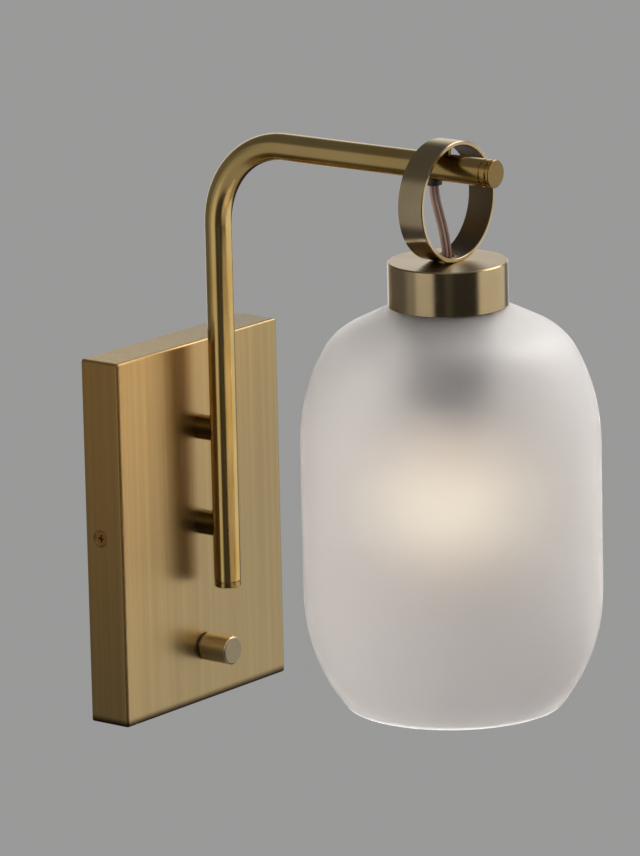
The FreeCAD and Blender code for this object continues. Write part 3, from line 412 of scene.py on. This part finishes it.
def frosted_glass(name, glass):
    """White frosted glass that lets a blurred glow through. Its rim is smoother and has a painted glow."""
    finish, surface = grained_finish(name, toned(glass.tint, share=0.985), glass.tint, glass.frosting,
                                     spread=0.03, clouds=thrice(14.0), lines=thrice(2600.0),
                                     depth=0.000006)
    nodes, links = finish.node_tree.nodes, finish.node_tree.links
    surface.inputs["Transmission Weight"].default_value = glass.clearness
    surface.inputs["IOR"].default_value = 1.45
    surface.inputs["Sheen Weight"].default_value = glass.bloom
    surface.inputs["Sheen Roughness"].default_value = 0.45
    surface.inputs["Emission Color"].default_value = (*glass.rim_tint, 1.0)
    # Painted glow along the rim, in the rim colour, standing in for light that the wall leads down.
    rim_glow_strength = times(nodes, links, share_near(finish, UPRIGHT, shade_low.z, RIM_GLOW_FADE), glass.painted_rim_glow)
    links.new(rim_glow_strength, surface.inputs["Emission Strength"])
    stain(finish, share_near(finish, UPRIGHT, shade_low.z, RIM_SMOOTH_FADE), rougher=-0.4)
    globe_low, globe_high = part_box("bulb_envelope")
    middle = globe_low.z + (globe_high.x - globe_low.x) / 2
    stain(finish, share_along(finish, UPRIGHT * shade_high.z, UPRIGHT * middle), glass.side_tint,
          glass.side_frosting - glass.frosting)
    return finish


def lit_glass(name, bulb, low, high):
    """White coated bulb glass that glows most round its wire, and little at its tip and neck."""
    finish, nodes, links, surface = blank_finish(name)
    cloud = grain(nodes, links, thrice(40.0))
    coat = two_tones(nodes, links, cloud, dark=(0.84, 0.82, 0.78), light=(0.90, 0.88, 0.84))
    links.new(coat, surface.inputs["Base Color"])
    surface.inputs["Roughness"].default_value = 0.35
    surface.inputs["Emission Strength"].default_value = bulb.glow
    place = nodes.new("ShaderNodeTexCoord").outputs["Object"]
    height = with_vector(nodes, links, "DOT_PRODUCT", place, UPRIGHT, "Value")
    ramp = nodes.new("ShaderNodeValToRGB")
    ramp.color_ramp.interpolation = "B_SPLINE"
    # A new ramp has a stop at 0, which stays, and one at 1.
    stops = ramp.color_ramp.elements
    stops.remove(stops[-1])
    for position, strength, tone in GLOW_STOPS:
        stop = stops.new(position) if position else stops[0]
        stop.color = (*toned(getattr(bulb, tone), strength), 1.0)
    links.new(map_value(nodes, links, height, (low, high)), ramp.inputs["Fac"])
    links.new(ramp.outputs["Color"], surface.inputs["Emission Color"])
    return finish


def clear_glass(name):
    """Clear glass with a faint cast."""
    finish, nodes, links, surface = blank_finish(name)
    cloud = grain(nodes, links, thrice(80.0))
    cast = two_tones(nodes, links, cloud, dark=(0.90, 0.93, 0.93), light=(0.95, 0.97, 0.97))
    links.new(cast, surface.inputs["Base Color"])
    surface.inputs["Transmission Weight"].default_value = 1.0
    surface.inputs["Roughness"].default_value = 0.04
    surface.inputs["IOR"].default_value = 1.5
    return finish


def rolled_metal():
    """Thin rolled sheet, brighter and duller in clouds. It is made once and shared."""
    made = bpy.data.materials.get("rolled_metal")
    return made or metal_finish("rolled_metal", dark=(0.62, 0.60, 0.56), light=(0.76, 0.74, 0.70),
                                roughness=0.28, brush=thrice(400.0), depth=0.000004)


def dress(node, finish):
    """Give a carried-over node its finish."""
    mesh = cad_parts[node].data
    mesh.materials.clear()
    mesh.materials.append(finish)


def finished_piece(bm, name, finish, body, replaced):
    """Turn a shaped mesh into a piece that rides on a body and takes the place of carried-over nodes."""
    mesh = bpy.data.meshes.new(name)
    bmesh.ops.remove_doubles(bm, verts=bm.verts[:], dist=MERGE_DISTANCE)
    bmesh.ops.recalc_face_normals(bm, faces=bm.faces[:])
    bm.to_mesh(mesh)
    bm.free()
    for face in mesh.polygons:
        face.use_smooth = True
    mesh.set_sharp_from_angle(angle=SHARP_ANGLE)
    mesh.materials.append(finish)
    piece = bpy.data.objects.new(name, mesh)
    bpy.context.scene.collection.objects.link(piece)
    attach(piece, body)
    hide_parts(*replaced)


def start_profile(radius, height):
    """New mesh with the first point of a profile, given as radius and height."""
    bm = bmesh.new()
    return bm, bmesh.ops.create_vert(bm, co=(radius, 0.0, height))["vert"][0]


def straight_to(bm, here, radius, height):
    """Continue a profile with a straight line to a radius and a height."""
    grown = bmesh.ops.extrude_vert_indiv(bm, verts=[here])
    there = grown["verts"][0]
    there.co = Vector((radius, 0.0, height))
    return there


def arc_round(bm, here, centre, angle, steps):
    """Continue a profile with an arc round a centre, given as radius and height."""
    turned = bmesh.ops.spin(bm, geom=[here], cent=(centre[0], 0.0, centre[1]), axis=-INWARD,
                            angle=angle, steps=steps, use_duplicate=False)
    return [item for item in turned["geom_last"] if isinstance(item, bmesh.types.BMVert)][0]


def on_circle(centre, radius, angle):
    """Point of a circle in a profile's plane."""
    return centre[0] + radius * math.cos(angle), centre[1] + radius * math.sin(angle)


def rows_to(bm, here, height, rows):
    """Continue a profile straight up or down in even rows."""
    radius, rise = here.co.x, (height - here.co.z) / rows
    for _ in range(rows):
        here = straight_to(bm, here, radius, here.co.z + rise)
    return here


def roll_thread(bm, centre, low, high, bulb):
    """Roll a right-hand thread into the upright walls of a turned sheet. It runs out at both ends."""
    for vert in bm.verts:
        out = Vector((vert.co.x - centre.x, vert.co.y - centre.y, 0.0))
        turn = math.atan2(out.y, out.x) / math.tau
        wave = 0.5 - 0.5 * math.cos(math.tau * ((vert.co.z - base_low.z) / bulb.pitch - turn))
        run_out = min(1.0, max(0.0, min(vert.co.z - low, high - vert.co.z) / bulb.pitch))
        vert.co -= out.normalized() * (bulb.depth * wave * run_out)


def spin_full(bm, centre, steps):
    """Turn a profile all the way round an upright axis."""
    bmesh.ops.translate(bm, verts=bm.verts[:], vec=(centre.x, centre.y, 0.0))
    bmesh.ops.spin(bm, geom=bm.verts[:] + bm.edges[:], cent=(centre.x, centre.y, 0.0), axis=UPRIGHT,
                   angle=math.tau, steps=steps, use_merge=True, use_duplicate=False)


class WALL_LAMP_OT_plate(bpy.types.Operator):
    """Brush the backplate upright and finish its side screws"""
    bl_idname = "wall_lamp.plate"
    bl_label = "Backplate"

    def execute(self, context):
        brass = context.scene.wall_lamp_brass
        plate = metal_finish("brushed_plate", brass.plate_dark, brass.plate_light, brass.plate_roughness,
                             brush=(1000.0, 1000.0, 8.0), depth=brass.grain_depth / 8,
                             clouds=(400.0, 400.0, 4.0), spread=0.04)
        self.age(plate, brass)
        dress("backplate_cover", plate)
        screws = metal_finish("screw_brass", dark=(0.30, 0.14, 0.045), light=(0.42, 0.20, 0.065),
                              roughness=0.3, brush=thrice(900.0), depth=brass.grain_depth / 4)
        dress("side_screws", screws)
        return {"FINISHED"}

    def age(self, plate, brass):
        """Painted shade on the front, the left side, the lower edge and the top; roughness at the left
        edge.
        """
        width, height = plate_high.x - plate_low.x, plate_high.z - plate_low.z
        slant = Vector((height, 0.0, -width)) * (width * height / (width ** 2 + height ** 2))
        middle = (plate_low + plate_high) / 2
        start, end = (middle + slant * reach for reach in DIAGONAL_SHADE_REACH)
        # Painted shade that darkens the front towards its lower right corner.
        stain(plate, share_along(plate, start, end), brass.plate_diagonal_shade)
        left = plate_low.x
        # Painted shade on the plate's left side.
        stain(plate, share_near(plate, SIDEWAYS, left, PLATE_SIDE_SHADE_FADE), brass.plate_side_shade)
        stain(plate, share_near(plate, SIDEWAYS, left, PLATE_CORNER_FADE), rougher=CORNER_BLUR)
        stain(plate, share_near(plate, SIDEWAYS, left, PLATE_FLAT_FADE), rougher=-CORNER_BLUR)
        # Painted shade along the plate's lower edge.
        stain(plate, share_near(plate, UPRIGHT, plate_low.z, PLATE_FOOT_SHADE_FADE), brass.plate_foot_shade)
        # Painted shade on the plate's top face.
        stain(plate, share_near(plate, UPRIGHT, plate_high.z, PLATE_TOP_SHADE_FADE), brass.plate_top_shade)


class WALL_LAMP_OT_bracket(bpy.types.Operator):
    """Zinc plate the bracket, its washers and screws, and dye the earth screw green"""
    bl_idname = "wall_lamp.bracket"
    bl_label = "Bracket and fixings"

    def execute(self, context):
        brass = context.scene.wall_lamp_brass
        zinc = metal_finish("zinc_plate", dark=(0.50, 0.51, 0.50), light=(0.68, 0.68, 0.66),
                            roughness=0.34, brush=thrice(500.0), depth=brass.grain_depth / 2)
        for node in ("wall_bracket", "standoff_washers", "cap_washer", "dimmer_washer", "dimmer_nut",
                     "terminal_screws", "block_fixing"):
            dress(node, zinc)
        green = metal_finish("green_zinc", dark=(0.03, 0.24, 0.08), light=(0.06, 0.38, 0.14),
                             roughness=0.35, brush=thrice(500.0), depth=brass.grain_depth / 2)
        dress("ground_screw", green)
        plain = metal_finish("threaded_brass", dark=(0.50, 0.38, 0.17), light=(0.66, 0.53, 0.28),
                             roughness=0.28, brush=thrice(900.0), depth=brass.grain_depth)
        for node in ("standoff_nuts", "stud_nut", "cap_nut", "ring_nipple", "terminal_sleeves",
                     "holder_contact", "holder_screws"):
            dress(node, plain)
        block = moulded_finish("block_plastic", dark=(0.78, 0.75, 0.68), light=(0.86, 0.84, 0.78),
                               roughness=0.32)
        dress("terminal_block", block)
        return {"FINISHED"}


class WALL_LAMP_OT_arm(bpy.types.Operator):
    """Finish the bent tube, its end plugs, standoffs and bushing"""
    bl_idname = "wall_lamp.arm"
    bl_label = "Arm"

    def execute(self, context):
        brass = context.scene.wall_lamp_brass
        satin = {"roughness": brass.tube_roughness, "brush": thrice(1500.0), "depth": brass.grain_depth / 3}
        dress("arm_tube", metal_finish("satin_tube", brass.tube_dark, brass.tube_light, **satin))
        foot = metal_finish("tube_foot", toned(brass.tube_dark, share=0.62),
                            toned(brass.tube_light, share=0.7), **satin)
        dress("lower_end_plug", foot)
        tip = metal_finish("tube_end", brass.tube_dark, brass.tube_light, **satin)
        end_face = share_near(tip, INWARD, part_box("front_end_plug")[0].y, TUBE_END_FADE)
        # Darker end face of the front plug.
        stain(tip, end_face, toned(brass.aged, share=1.25), rougher=0.06)
        dress("front_end_plug", tip)
        # Dark brass for the standoffs and the ring's stud: partly their own dark tone, partly painted dark
        # reflection.
        aged = metal_finish("aged_brass", toned(brass.tube_dark, share=0.3),
                            toned(brass.polished, share=0.4), roughness=0.14, brush=thrice(1500.0),
                            depth=brass.grain_depth / 6)
        for node in ("upper_standoff", "lower_standoff", "ring_stud"):
            dress(node, aged)
        bushing = moulded_finish("bushing_black", dark=(0.03, 0.026, 0.025), light=(0.05, 0.045, 0.042),
                                 roughness=0.45)
        dress("cord_bushing", bushing)
        return {"FINISHED"}


class WALL_LAMP_OT_ring(bpy.types.Operator):
    """Brush the ring and the cap round their own axes"""
    bl_idname = "wall_lamp.ring"
    bl_label = "Ring and cap"

    def execute(self, context):
        brass = context.scene.wall_lamp_brass
        ring = metal_finish("turned_ring", brass.cap_dark, brass.cap_light, brass.tube_roughness,
                            brush=(20.0, 2600.0, 20.0), depth=brass.grain_depth)
        ring_low, ring_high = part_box("ring")
        middle = (ring_low + ring_high) / 2
        inside = (ring_high.x - ring_low.x) / 2 - RING_BAND
        reach = [inside + fade for fade in RING_INSIDE_FADE]
        # Painted shade inside the ring, which is also rougher there.
        stain(ring, share_round(ring, middle, SIDEWAYS + UPRIGHT, reach), brass.aged, rougher=0.2)
        dress("ring", ring)
        cap = metal_finish("turned_cap", brass.cap_dark, brass.cap_light, brass.cap_roughness,
                           brush=(20.0, 20.0, 2600.0), depth=brass.grain_depth)
        stain(cap, share_near(cap, UPRIGHT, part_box("cap")[1].z, CAP_TOP_FADE), rougher=0.16)
        dress("cap", cap)
        return {"FINISHED"}


class WALL_LAMP_OT_cord(bpy.types.Operator):
    """Colour the twin lead"""
    bl_idname = "wall_lamp.cord"
    bl_label = "Lead"

    def execute(self, context):
        jacket = moulded_finish("lead_jacket", dark=(0.30, 0.18, 0.13), light=(0.42, 0.27, 0.21),
                                roughness=0.42, pebbles=900.0, depth=0.00001)
        dress("lamp_cord", jacket)
        return {"FINISHED"}


class WALL_LAMP_OT_shade(bpy.types.Operator):
    """Blow the frosted capsule: one even wall, open below, with a rounded rim"""
    bl_idname = "wall_lamp.shade"
    bl_label = "Glass shade"

    def execute(self, context):
        glass = context.scene.wall_lamp_glass
        radius = (shade_high.x - shade_low.x) / 2
        top = shade_high.z
        cone = math.pi / 2 - glass.slope
        upper = (radius - glass.upper, top - glass.upper_drop)
        lower = (radius - glass.lower, upper[1] - glass.straight)
        flat = (glass.flat / 2, top)
        ahead = (upper[0] - flat[0]) * math.cos(cone) + (upper[1] - flat[1]) * math.sin(cone)
        spare = glass.upper - glass.corner
        meet = cone - math.acos((-glass.corner - ahead) / spare)
        corner = on_circle(upper, spare, meet)
        rim = math.asin((lower[1] - shade_low.z) / glass.lower)
        lip = on_circle(lower, glass.lower - glass.wall / 2, -rim)
        inner_flat = flat[0] - glass.wall * math.tan(glass.slope / 2)

        bm, here = start_profile(glass.hole / 2, top)
        here = straight_to(bm, here, *flat)
        here = straight_to(bm, here, *on_circle(corner, glass.corner, cone))
        here = arc_round(bm, here, corner, meet - cone, CORNER_STEPS)
        here = arc_round(bm, here, upper, -meet, SIDE_STEPS)
        here = straight_to(bm, here, radius, lower[1])
        here = arc_round(bm, here, lower, -rim, SIDE_STEPS)
        here = arc_round(bm, here, lip, -math.pi, RIM_STEPS)
        here = arc_round(bm, here, lower, rim, SIDE_STEPS)
        here = straight_to(bm, here, radius - glass.wall, upper[1])
        here = arc_round(bm, here, upper, meet, SIDE_STEPS)
        here = arc_round(bm, here, corner, cone - meet, CORNER_STEPS)
        here = straight_to(bm, here, inner_flat, top - glass.wall)
        here = straight_to(bm, here, glass.hole / 2, top - glass.wall)
        straight_to(bm, here, glass.hole / 2, top)
        spin_full(bm, lamp_axis, SHADE_TURN)
        finished_piece(bm, "glass_capsule", frosted_glass("frosted_glass", glass), "lamp",
                       ["shade"])
        return {"FINISHED"}


class WALL_LAMP_OT_holder(bpy.types.Operator):
    """Finish the lampholder, its clamping ring and gasket, and roll its threaded shell"""
    bl_idname = "wall_lamp.holder"
    bl_label = "Lampholder"

    def execute(self, context):
        body = moulded_finish("holder_plastic", dark=(0.05, 0.048, 0.045), light=(0.075, 0.07, 0.066),
                              roughness=0.4)
        for node in ("holder_cap", "holder_body", "shade_ring"):
            dress(node, body)
        gasket = moulded_finish("gasket_rubber", dark=(0.62, 0.60, 0.56), light=(0.70, 0.68, 0.64),
                                roughness=0.6)
        dress("shade_gasket", gasket)
        self.roll_shell(context.scene.wall_lamp_bulb)
        return {"FINISHED"}

    def roll_shell(self, bulb):
        """Threaded shell of thin sheet, with a hole in its floor for the contact."""
        shell_low, shell_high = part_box("holder_shell")
        outer = (shell_high.x - shell_low.x) / 2
        under = shell_high.z - bulb.sheet
        window = bulb.window / 2
        bm, start = start_profile(window, shell_high.z)
        here = straight_to(bm, start, outer, shell_high.z)
        here = rows_to(bm, here, shell_low.z, SHELL_ROWS)
        here = straight_to(bm, here, outer - bulb.sheet, shell_low.z)
        here = rows_to(bm, here, under, SHELL_ROWS)
        here = straight_to(bm, here, window, under)
        straight_to(bm, here, window, shell_high.z)
        spin_full(bm, lamp_axis, SMALL_TURN)
        roll_thread(bm, lamp_axis, shell_low.z, base_high.z - bulb.shoulder, bulb)
        finished_piece(bm, "threaded_shell", rolled_metal(), "lamp", ["holder_shell"])


class WALL_LAMP_OT_bulb(bpy.types.Operator):
    """Light the bulb and finish its base"""
    bl_idname = "wall_lamp.bulb"
    bl_label = "Bulb"

    def execute(self, context):
        bulb = context.scene.wall_lamp_bulb
        self.blow_globe(bulb)
        self.roll_base(bulb)
        dress("bulb_contact", rolled_metal())
        dress("bulb_stem", clear_glass("stem_glass"))
        wire = metal_finish("filament_wire", dark=(0.35, 0.32, 0.28), light=(0.52, 0.48, 0.42),
                            roughness=0.4, brush=thrice(800.0), depth=0.000004)
        dress("bulb_filament", wire)
        insulator = moulded_finish("insulator_glass", dark=(0.012, 0.012, 0.014),
                                   light=(0.025, 0.025, 0.028), roughness=0.12)
        dress("bulb_insulator", insulator)
        return {"FINISHED"}

    def blow_globe(self, bulb):
        """Globe and neck of thin glass, closed in the base."""
        envelope_low, envelope_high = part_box("bulb_envelope")
        globe = (envelope_high.x - envelope_low.x) / 2
        lean = math.acos((bulb.neck / 2 + bulb.neck_bend) / (globe + bulb.neck_bend))
        centre = (0.0, envelope_low.z + globe)
        bend = on_circle(centre, globe + bulb.neck_bend, lean)
        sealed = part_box("bulb_stem")[1].z - bulb.wall
        seat = (base_high.x - base_low.x) / 2 - bulb.depth - 2 * bulb.sheet
        bm, tip = start_profile(0.0, envelope_low.z)
        here = arc_round(bm, tip, centre, math.pi / 2 + lean, GLOBE_STEPS)
        here = arc_round(bm, here, bend, -lean, CORNER_STEPS)
        here = straight_to(bm, here, seat, base_low.z)
        here = straight_to(bm, here, seat, sealed)
        here = straight_to(bm, here, seat - bulb.wall, sealed)
        here = straight_to(bm, here, seat - bulb.wall, bend[1])
        here = arc_round(bm, here, bend, lean, CORNER_STEPS)
        arc_round(bm, here, centre, -math.pi / 2 - lean, GLOBE_STEPS)
        spin_full(bm, lamp_axis, SMALL_TURN)
        coat = lit_glass("lit_glass", bulb, envelope_low.z, base_low.z)
        finished_piece(bm, "lit_globe", coat, "bulb", ["bulb_envelope"])

    def roll_base(self, bulb):
        """Screw base of thin sheet, drawn in at the top to hold the insulator."""
        radius = (base_high.x - base_low.x) / 2
        shoulder = base_high.z - bulb.shoulder
        foot_low, foot_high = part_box("bulb_insulator")
        foot = (foot_high.x - foot_low.x) / 2
        bm, start = start_profile(radius, base_low.z)
        here = rows_to(bm, start, shoulder, BASE_ROWS)
        here = straight_to(bm, here, foot, base_high.z)
        here = straight_to(bm, here, foot - bulb.sheet, base_high.z)
        here = straight_to(bm, here, radius - bulb.sheet, shoulder)
        here = rows_to(bm, here, base_low.z, BASE_ROWS)
        straight_to(bm, here, radius, base_low.z)
        spin_full(bm, lamp_axis, SMALL_TURN)
        roll_thread(bm, lamp_axis, base_low.z, shoulder, bulb)
        finished_piece(bm, "screw_base", rolled_metal(), "bulb", ["bulb_base"])


class WALL_LAMP_OT_knob(bpy.types.Operator):
    """Finish the knob and the dimmer behind it"""
    bl_idname = "wall_lamp.knob"
    bl_label = "Knob and dimmer"

    def execute(self, context):
        brass = context.scene.wall_lamp_brass
        knob = metal_finish("turned_knob", toned(brass.knob, share=0.9), brass.knob, roughness=0.34,
                            brush=(30.0, 1600.0, 30.0), depth=brass.grain_depth / 6)
        face = share_near(knob, INWARD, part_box("knob")[0].y, KNOB_FACE_FADE)
        stain(knob, face, brass.knob_face, rougher=0.12)
        dress("knob", knob)
        dress("dimmer_shaft", rolled_metal())
        housing = moulded_finish("dimmer_plastic", dark=(0.02, 0.02, 0.022), light=(0.035, 0.035, 0.038),
                                 roughness=0.4)
        dress("dimmer_body", housing)
        return {"FINISHED"}


class WALL_LAMP_OT_studio(bpy.types.Operator):
    """Lay the floor, hang the lamps and set the camera"""
    bl_idname = "wall_lamp.studio"
    bl_label = "Studio"

    def execute(self, context):
        studio = context.scene.wall_lamp_studio
        context.scene.view_settings.view_transform = "Standard"
        lay_floor(studio)
        for name, (place, size, tint) in LAMPS.items():
            hang_lamp(name + "_lamp", getattr(studio, name), place, size, tint)
        surroundings(context.scene, studio)
        set_camera(context.scene, studio)
        return {"FINISHED"}


def lay_floor(studio):
    """Plain pale floor far below the lamp."""
    bm = bmesh.new()
    bmesh.ops.create_grid(bm, x_segments=1, y_segments=1, size=FLOOR_SIZE)
    bmesh.ops.translate(bm, verts=bm.verts[:], vec=(0.0, 0.0, -studio.drop))
    mesh = bpy.data.meshes.new("studio_floor")
    bm.to_mesh(mesh)
    bm.free()
    finish, nodes, links, surface = blank_finish("studio_floor")
    cloud = grain(nodes, links, thrice(1.5))
    pale = two_tones(nodes, links, cloud, toned(studio.floor, share=0.98), studio.floor)
    links.new(pale, surface.inputs["Base Color"])
    surface.inputs["Roughness"].default_value = 0.9
    surface.inputs["Specular IOR Level"].default_value = 0.1
    shown = show_plain(nodes, links, surface.outputs["BSDF"], "ShaderNodeEmission", studio.evenness,
                       through_glass=studio.surround * FLOOR_THROUGH_GLASS, backdrop=studio.backdrop)
    # From below the floor is see-through, so that the lamp can be looked at from there.
    underside = nodes.new("ShaderNodeNewGeometry").outputs["Backfacing"]
    clear = nodes.new("ShaderNodeBsdfTransparent").outputs["BSDF"]
    shown = mix_shaders(nodes, links, underside, shown, clear)
    links.new(shown, nodes["Material Output"].inputs["Surface"])
    mesh.materials.append(finish)
    floor = bpy.data.objects.new("studio_floor", mesh)
    floor.visible_glossy = False
    bpy.context.scene.collection.objects.link(floor)


def mix_shaders(nodes, links, share, first, second):
    """The first shader where the share is 0, and the second where it is 1."""
    choice = nodes.new("ShaderNodeMixShader")
    links.new(share, choice.inputs["Fac"])
    links.new(first, choice.inputs[1])
    links.new(second, choice.inputs[2])
    return choice.outputs["Shader"]


def show_plain(nodes, links, shown, shader, evenness, through_glass, backdrop):
    """Let glass and camera see a plain tone in place of what is shown, as far as the evenness says."""
    ray = nodes.new("ShaderNodeLightPath")
    for kind, colour in (("Is Transmission Ray", thrice(through_glass)), ("Is Camera Ray", backdrop)):
        plain = nodes.new(shader)
        plain.inputs["Color"].default_value = (*colour, 1.0)
        share = times(nodes, links, ray.outputs[kind], evenness)
        shown = mix_shaders(nodes, links, share, shown, plain.outputs[0])
    return shown


def hang_lamp(name, power, place, size, tint):
    """Soft rectangular lamp that faces the middle of the wall lamp."""
    data = bpy.data.lights.new(name, "AREA")
    data.shape = "RECTANGLE"
    data.size, data.size_y = size
    data.energy = power
    data.color = tint
    lamp = bpy.data.objects.new(name, data)
    spot = Vector(place)
    turn = (LAMP_AIM - spot).to_track_quat("-Z", "Y").to_matrix().to_4x4()
    lamp.matrix_world = Matrix.Translation(spot) @ turn
    lamp.visible_glossy = False
    bpy.context.scene.collection.objects.link(lamp)


def direction(azimuth, height):
    """Direction to a place round the lamp. Azimuth 0 is in front of the plate."""
    return Vector((math.sin(azimuth) * math.cos(height), -math.cos(azimuth) * math.cos(height),
                   math.sin(height)))


def surroundings(scene, studio):
    """Plain pale surroundings for the camera. Metal and diffuse surfaces see soft round patches."""
    world = bpy.data.worlds.new("studio_surround")
    world.use_nodes = True
    scene.world = world
    nodes = world.node_tree.nodes
    links = world.node_tree.links
    nodes.clear()
    outward = nodes.new("ShaderNodeTexCoord").outputs["Generated"]
    painted = None
    for *angles, tone in PATCHES:
        azimuth, height, radius, softness = (math.radians(angle) for angle in angles)
        facing = with_vector(nodes, links, "DOT_PRODUCT", outward, direction(azimuth, height), "Value")
        edge = (math.cos(radius + softness), math.cos(radius - softness))
        paint = nodes.new("ShaderNodeMix")
        paint.data_type = "RGBA"
        paint.inputs["A"].default_value = (*thrice(MOOD), 1.0)
        paint.inputs["B"].default_value = (*thrice(tone), 1.0)
        links.new(map_value(nodes, links, facing, edge, course="SMOOTHSTEP"), paint.inputs["Factor"])
        if painted:
            links.new(painted, paint.inputs["A"])
        painted = paint.outputs["Result"]
    lit = nodes.new("ShaderNodeBackground")
    links.new(painted, lit.inputs["Color"])
    shown = show_plain(nodes, links, lit.outputs["Background"], "ShaderNodeBackground", evenness=1.0,
                       through_glass=studio.surround, backdrop=studio.backdrop)
    output = nodes.new("ShaderNodeOutputWorld")
    links.new(shown, output.inputs["Surface"])


def set_camera(scene, studio):
    """Stand the camera where the photograph was taken from."""
    back = direction(studio.azimuth, studio.elevation)
    level = Vector((math.cos(studio.azimuth), math.sin(studio.azimuth), 0.0))
    above = back.cross(level)
    right = math.cos(studio.roll) * level + math.sin(studio.roll) * above
    up = -math.sin(studio.roll) * level + math.cos(studio.roll) * above
    data = bpy.data.cameras.new("studio_camera")
    data.sensor_width = FRAME_WIDTH
    data.lens = studio.focal
    data.clip_start = NEAREST_SEEN
    data.clip_end = FARTHEST_SEEN
    camera = bpy.data.objects.new("studio_camera", data)
    turn = Matrix((right, up, back)).transposed().to_4x4()
    camera.matrix_world = Matrix.Translation(Vector(studio.target) + back * studio.distance) @ turn
    scene.collection.objects.link(camera)
    scene.camera = camera


class WALL_LAMP_PT_sidebar(bpy.types.Panel):
    """Sidebar panel with the settings and steps of the wall lamp"""
    bl_label = "Wall lamp"
    bl_space_type = "VIEW_3D"
    bl_region_type = "UI"
    bl_category = "Wall lamp"

    def draw(self, context):
        for name, kind in SETTINGS.items():
            box = self.layout.box()
            box.label(text=kind.__doc__)
            for field in kind.__annotations__:
                box.prop(getattr(context.scene, name), field)
        for step in STEPS:
            self.layout.operator(step.bl_idname)


SETTINGS = {
    "wall_lamp_brass": BrassSettings,
    "wall_lamp_glass": GlassSettings,
    "wall_lamp_bulb": BulbSettings,
    "wall_lamp_studio": StudioSettings,
}
STEPS = (
    WALL_LAMP_OT_plate,
    WALL_LAMP_OT_bracket,
    WALL_LAMP_OT_arm,
    WALL_LAMP_OT_ring,
    WALL_LAMP_OT_cord,
    WALL_LAMP_OT_shade,
    WALL_LAMP_OT_holder,
    WALL_LAMP_OT_bulb,
    WALL_LAMP_OT_knob,
    WALL_LAMP_OT_studio,
)


def register():
    for kind in (*SETTINGS.values(), *STEPS, WALL_LAMP_PT_sidebar):
        bpy.utils.register_class(kind)
    for name, kind in SETTINGS.items():
        setattr(bpy.types.Scene, name, bpy.props.PointerProperty(type=kind))


def unregister():
    for name in SETTINGS:
        delattr(bpy.types.Scene, name)
    for kind in (WALL_LAMP_PT_sidebar, *reversed(STEPS), *reversed(SETTINGS.values())):
        bpy.utils.unregister_class(kind)


def main():
    register()
    bpy.ops.wall_lamp.plate()
    bpy.ops.wall_lamp.bracket()
    bpy.ops.wall_lamp.arm()
    bpy.ops.wall_lamp.ring()
    bpy.ops.wall_lamp.cord()
    bpy.ops.wall_lamp.shade()
    bpy.ops.wall_lamp.holder()
    bpy.ops.wall_lamp.bulb()
    bpy.ops.wall_lamp.knob()
    bpy.ops.wall_lamp.studio()


if __name__ == "__main__":
    main()
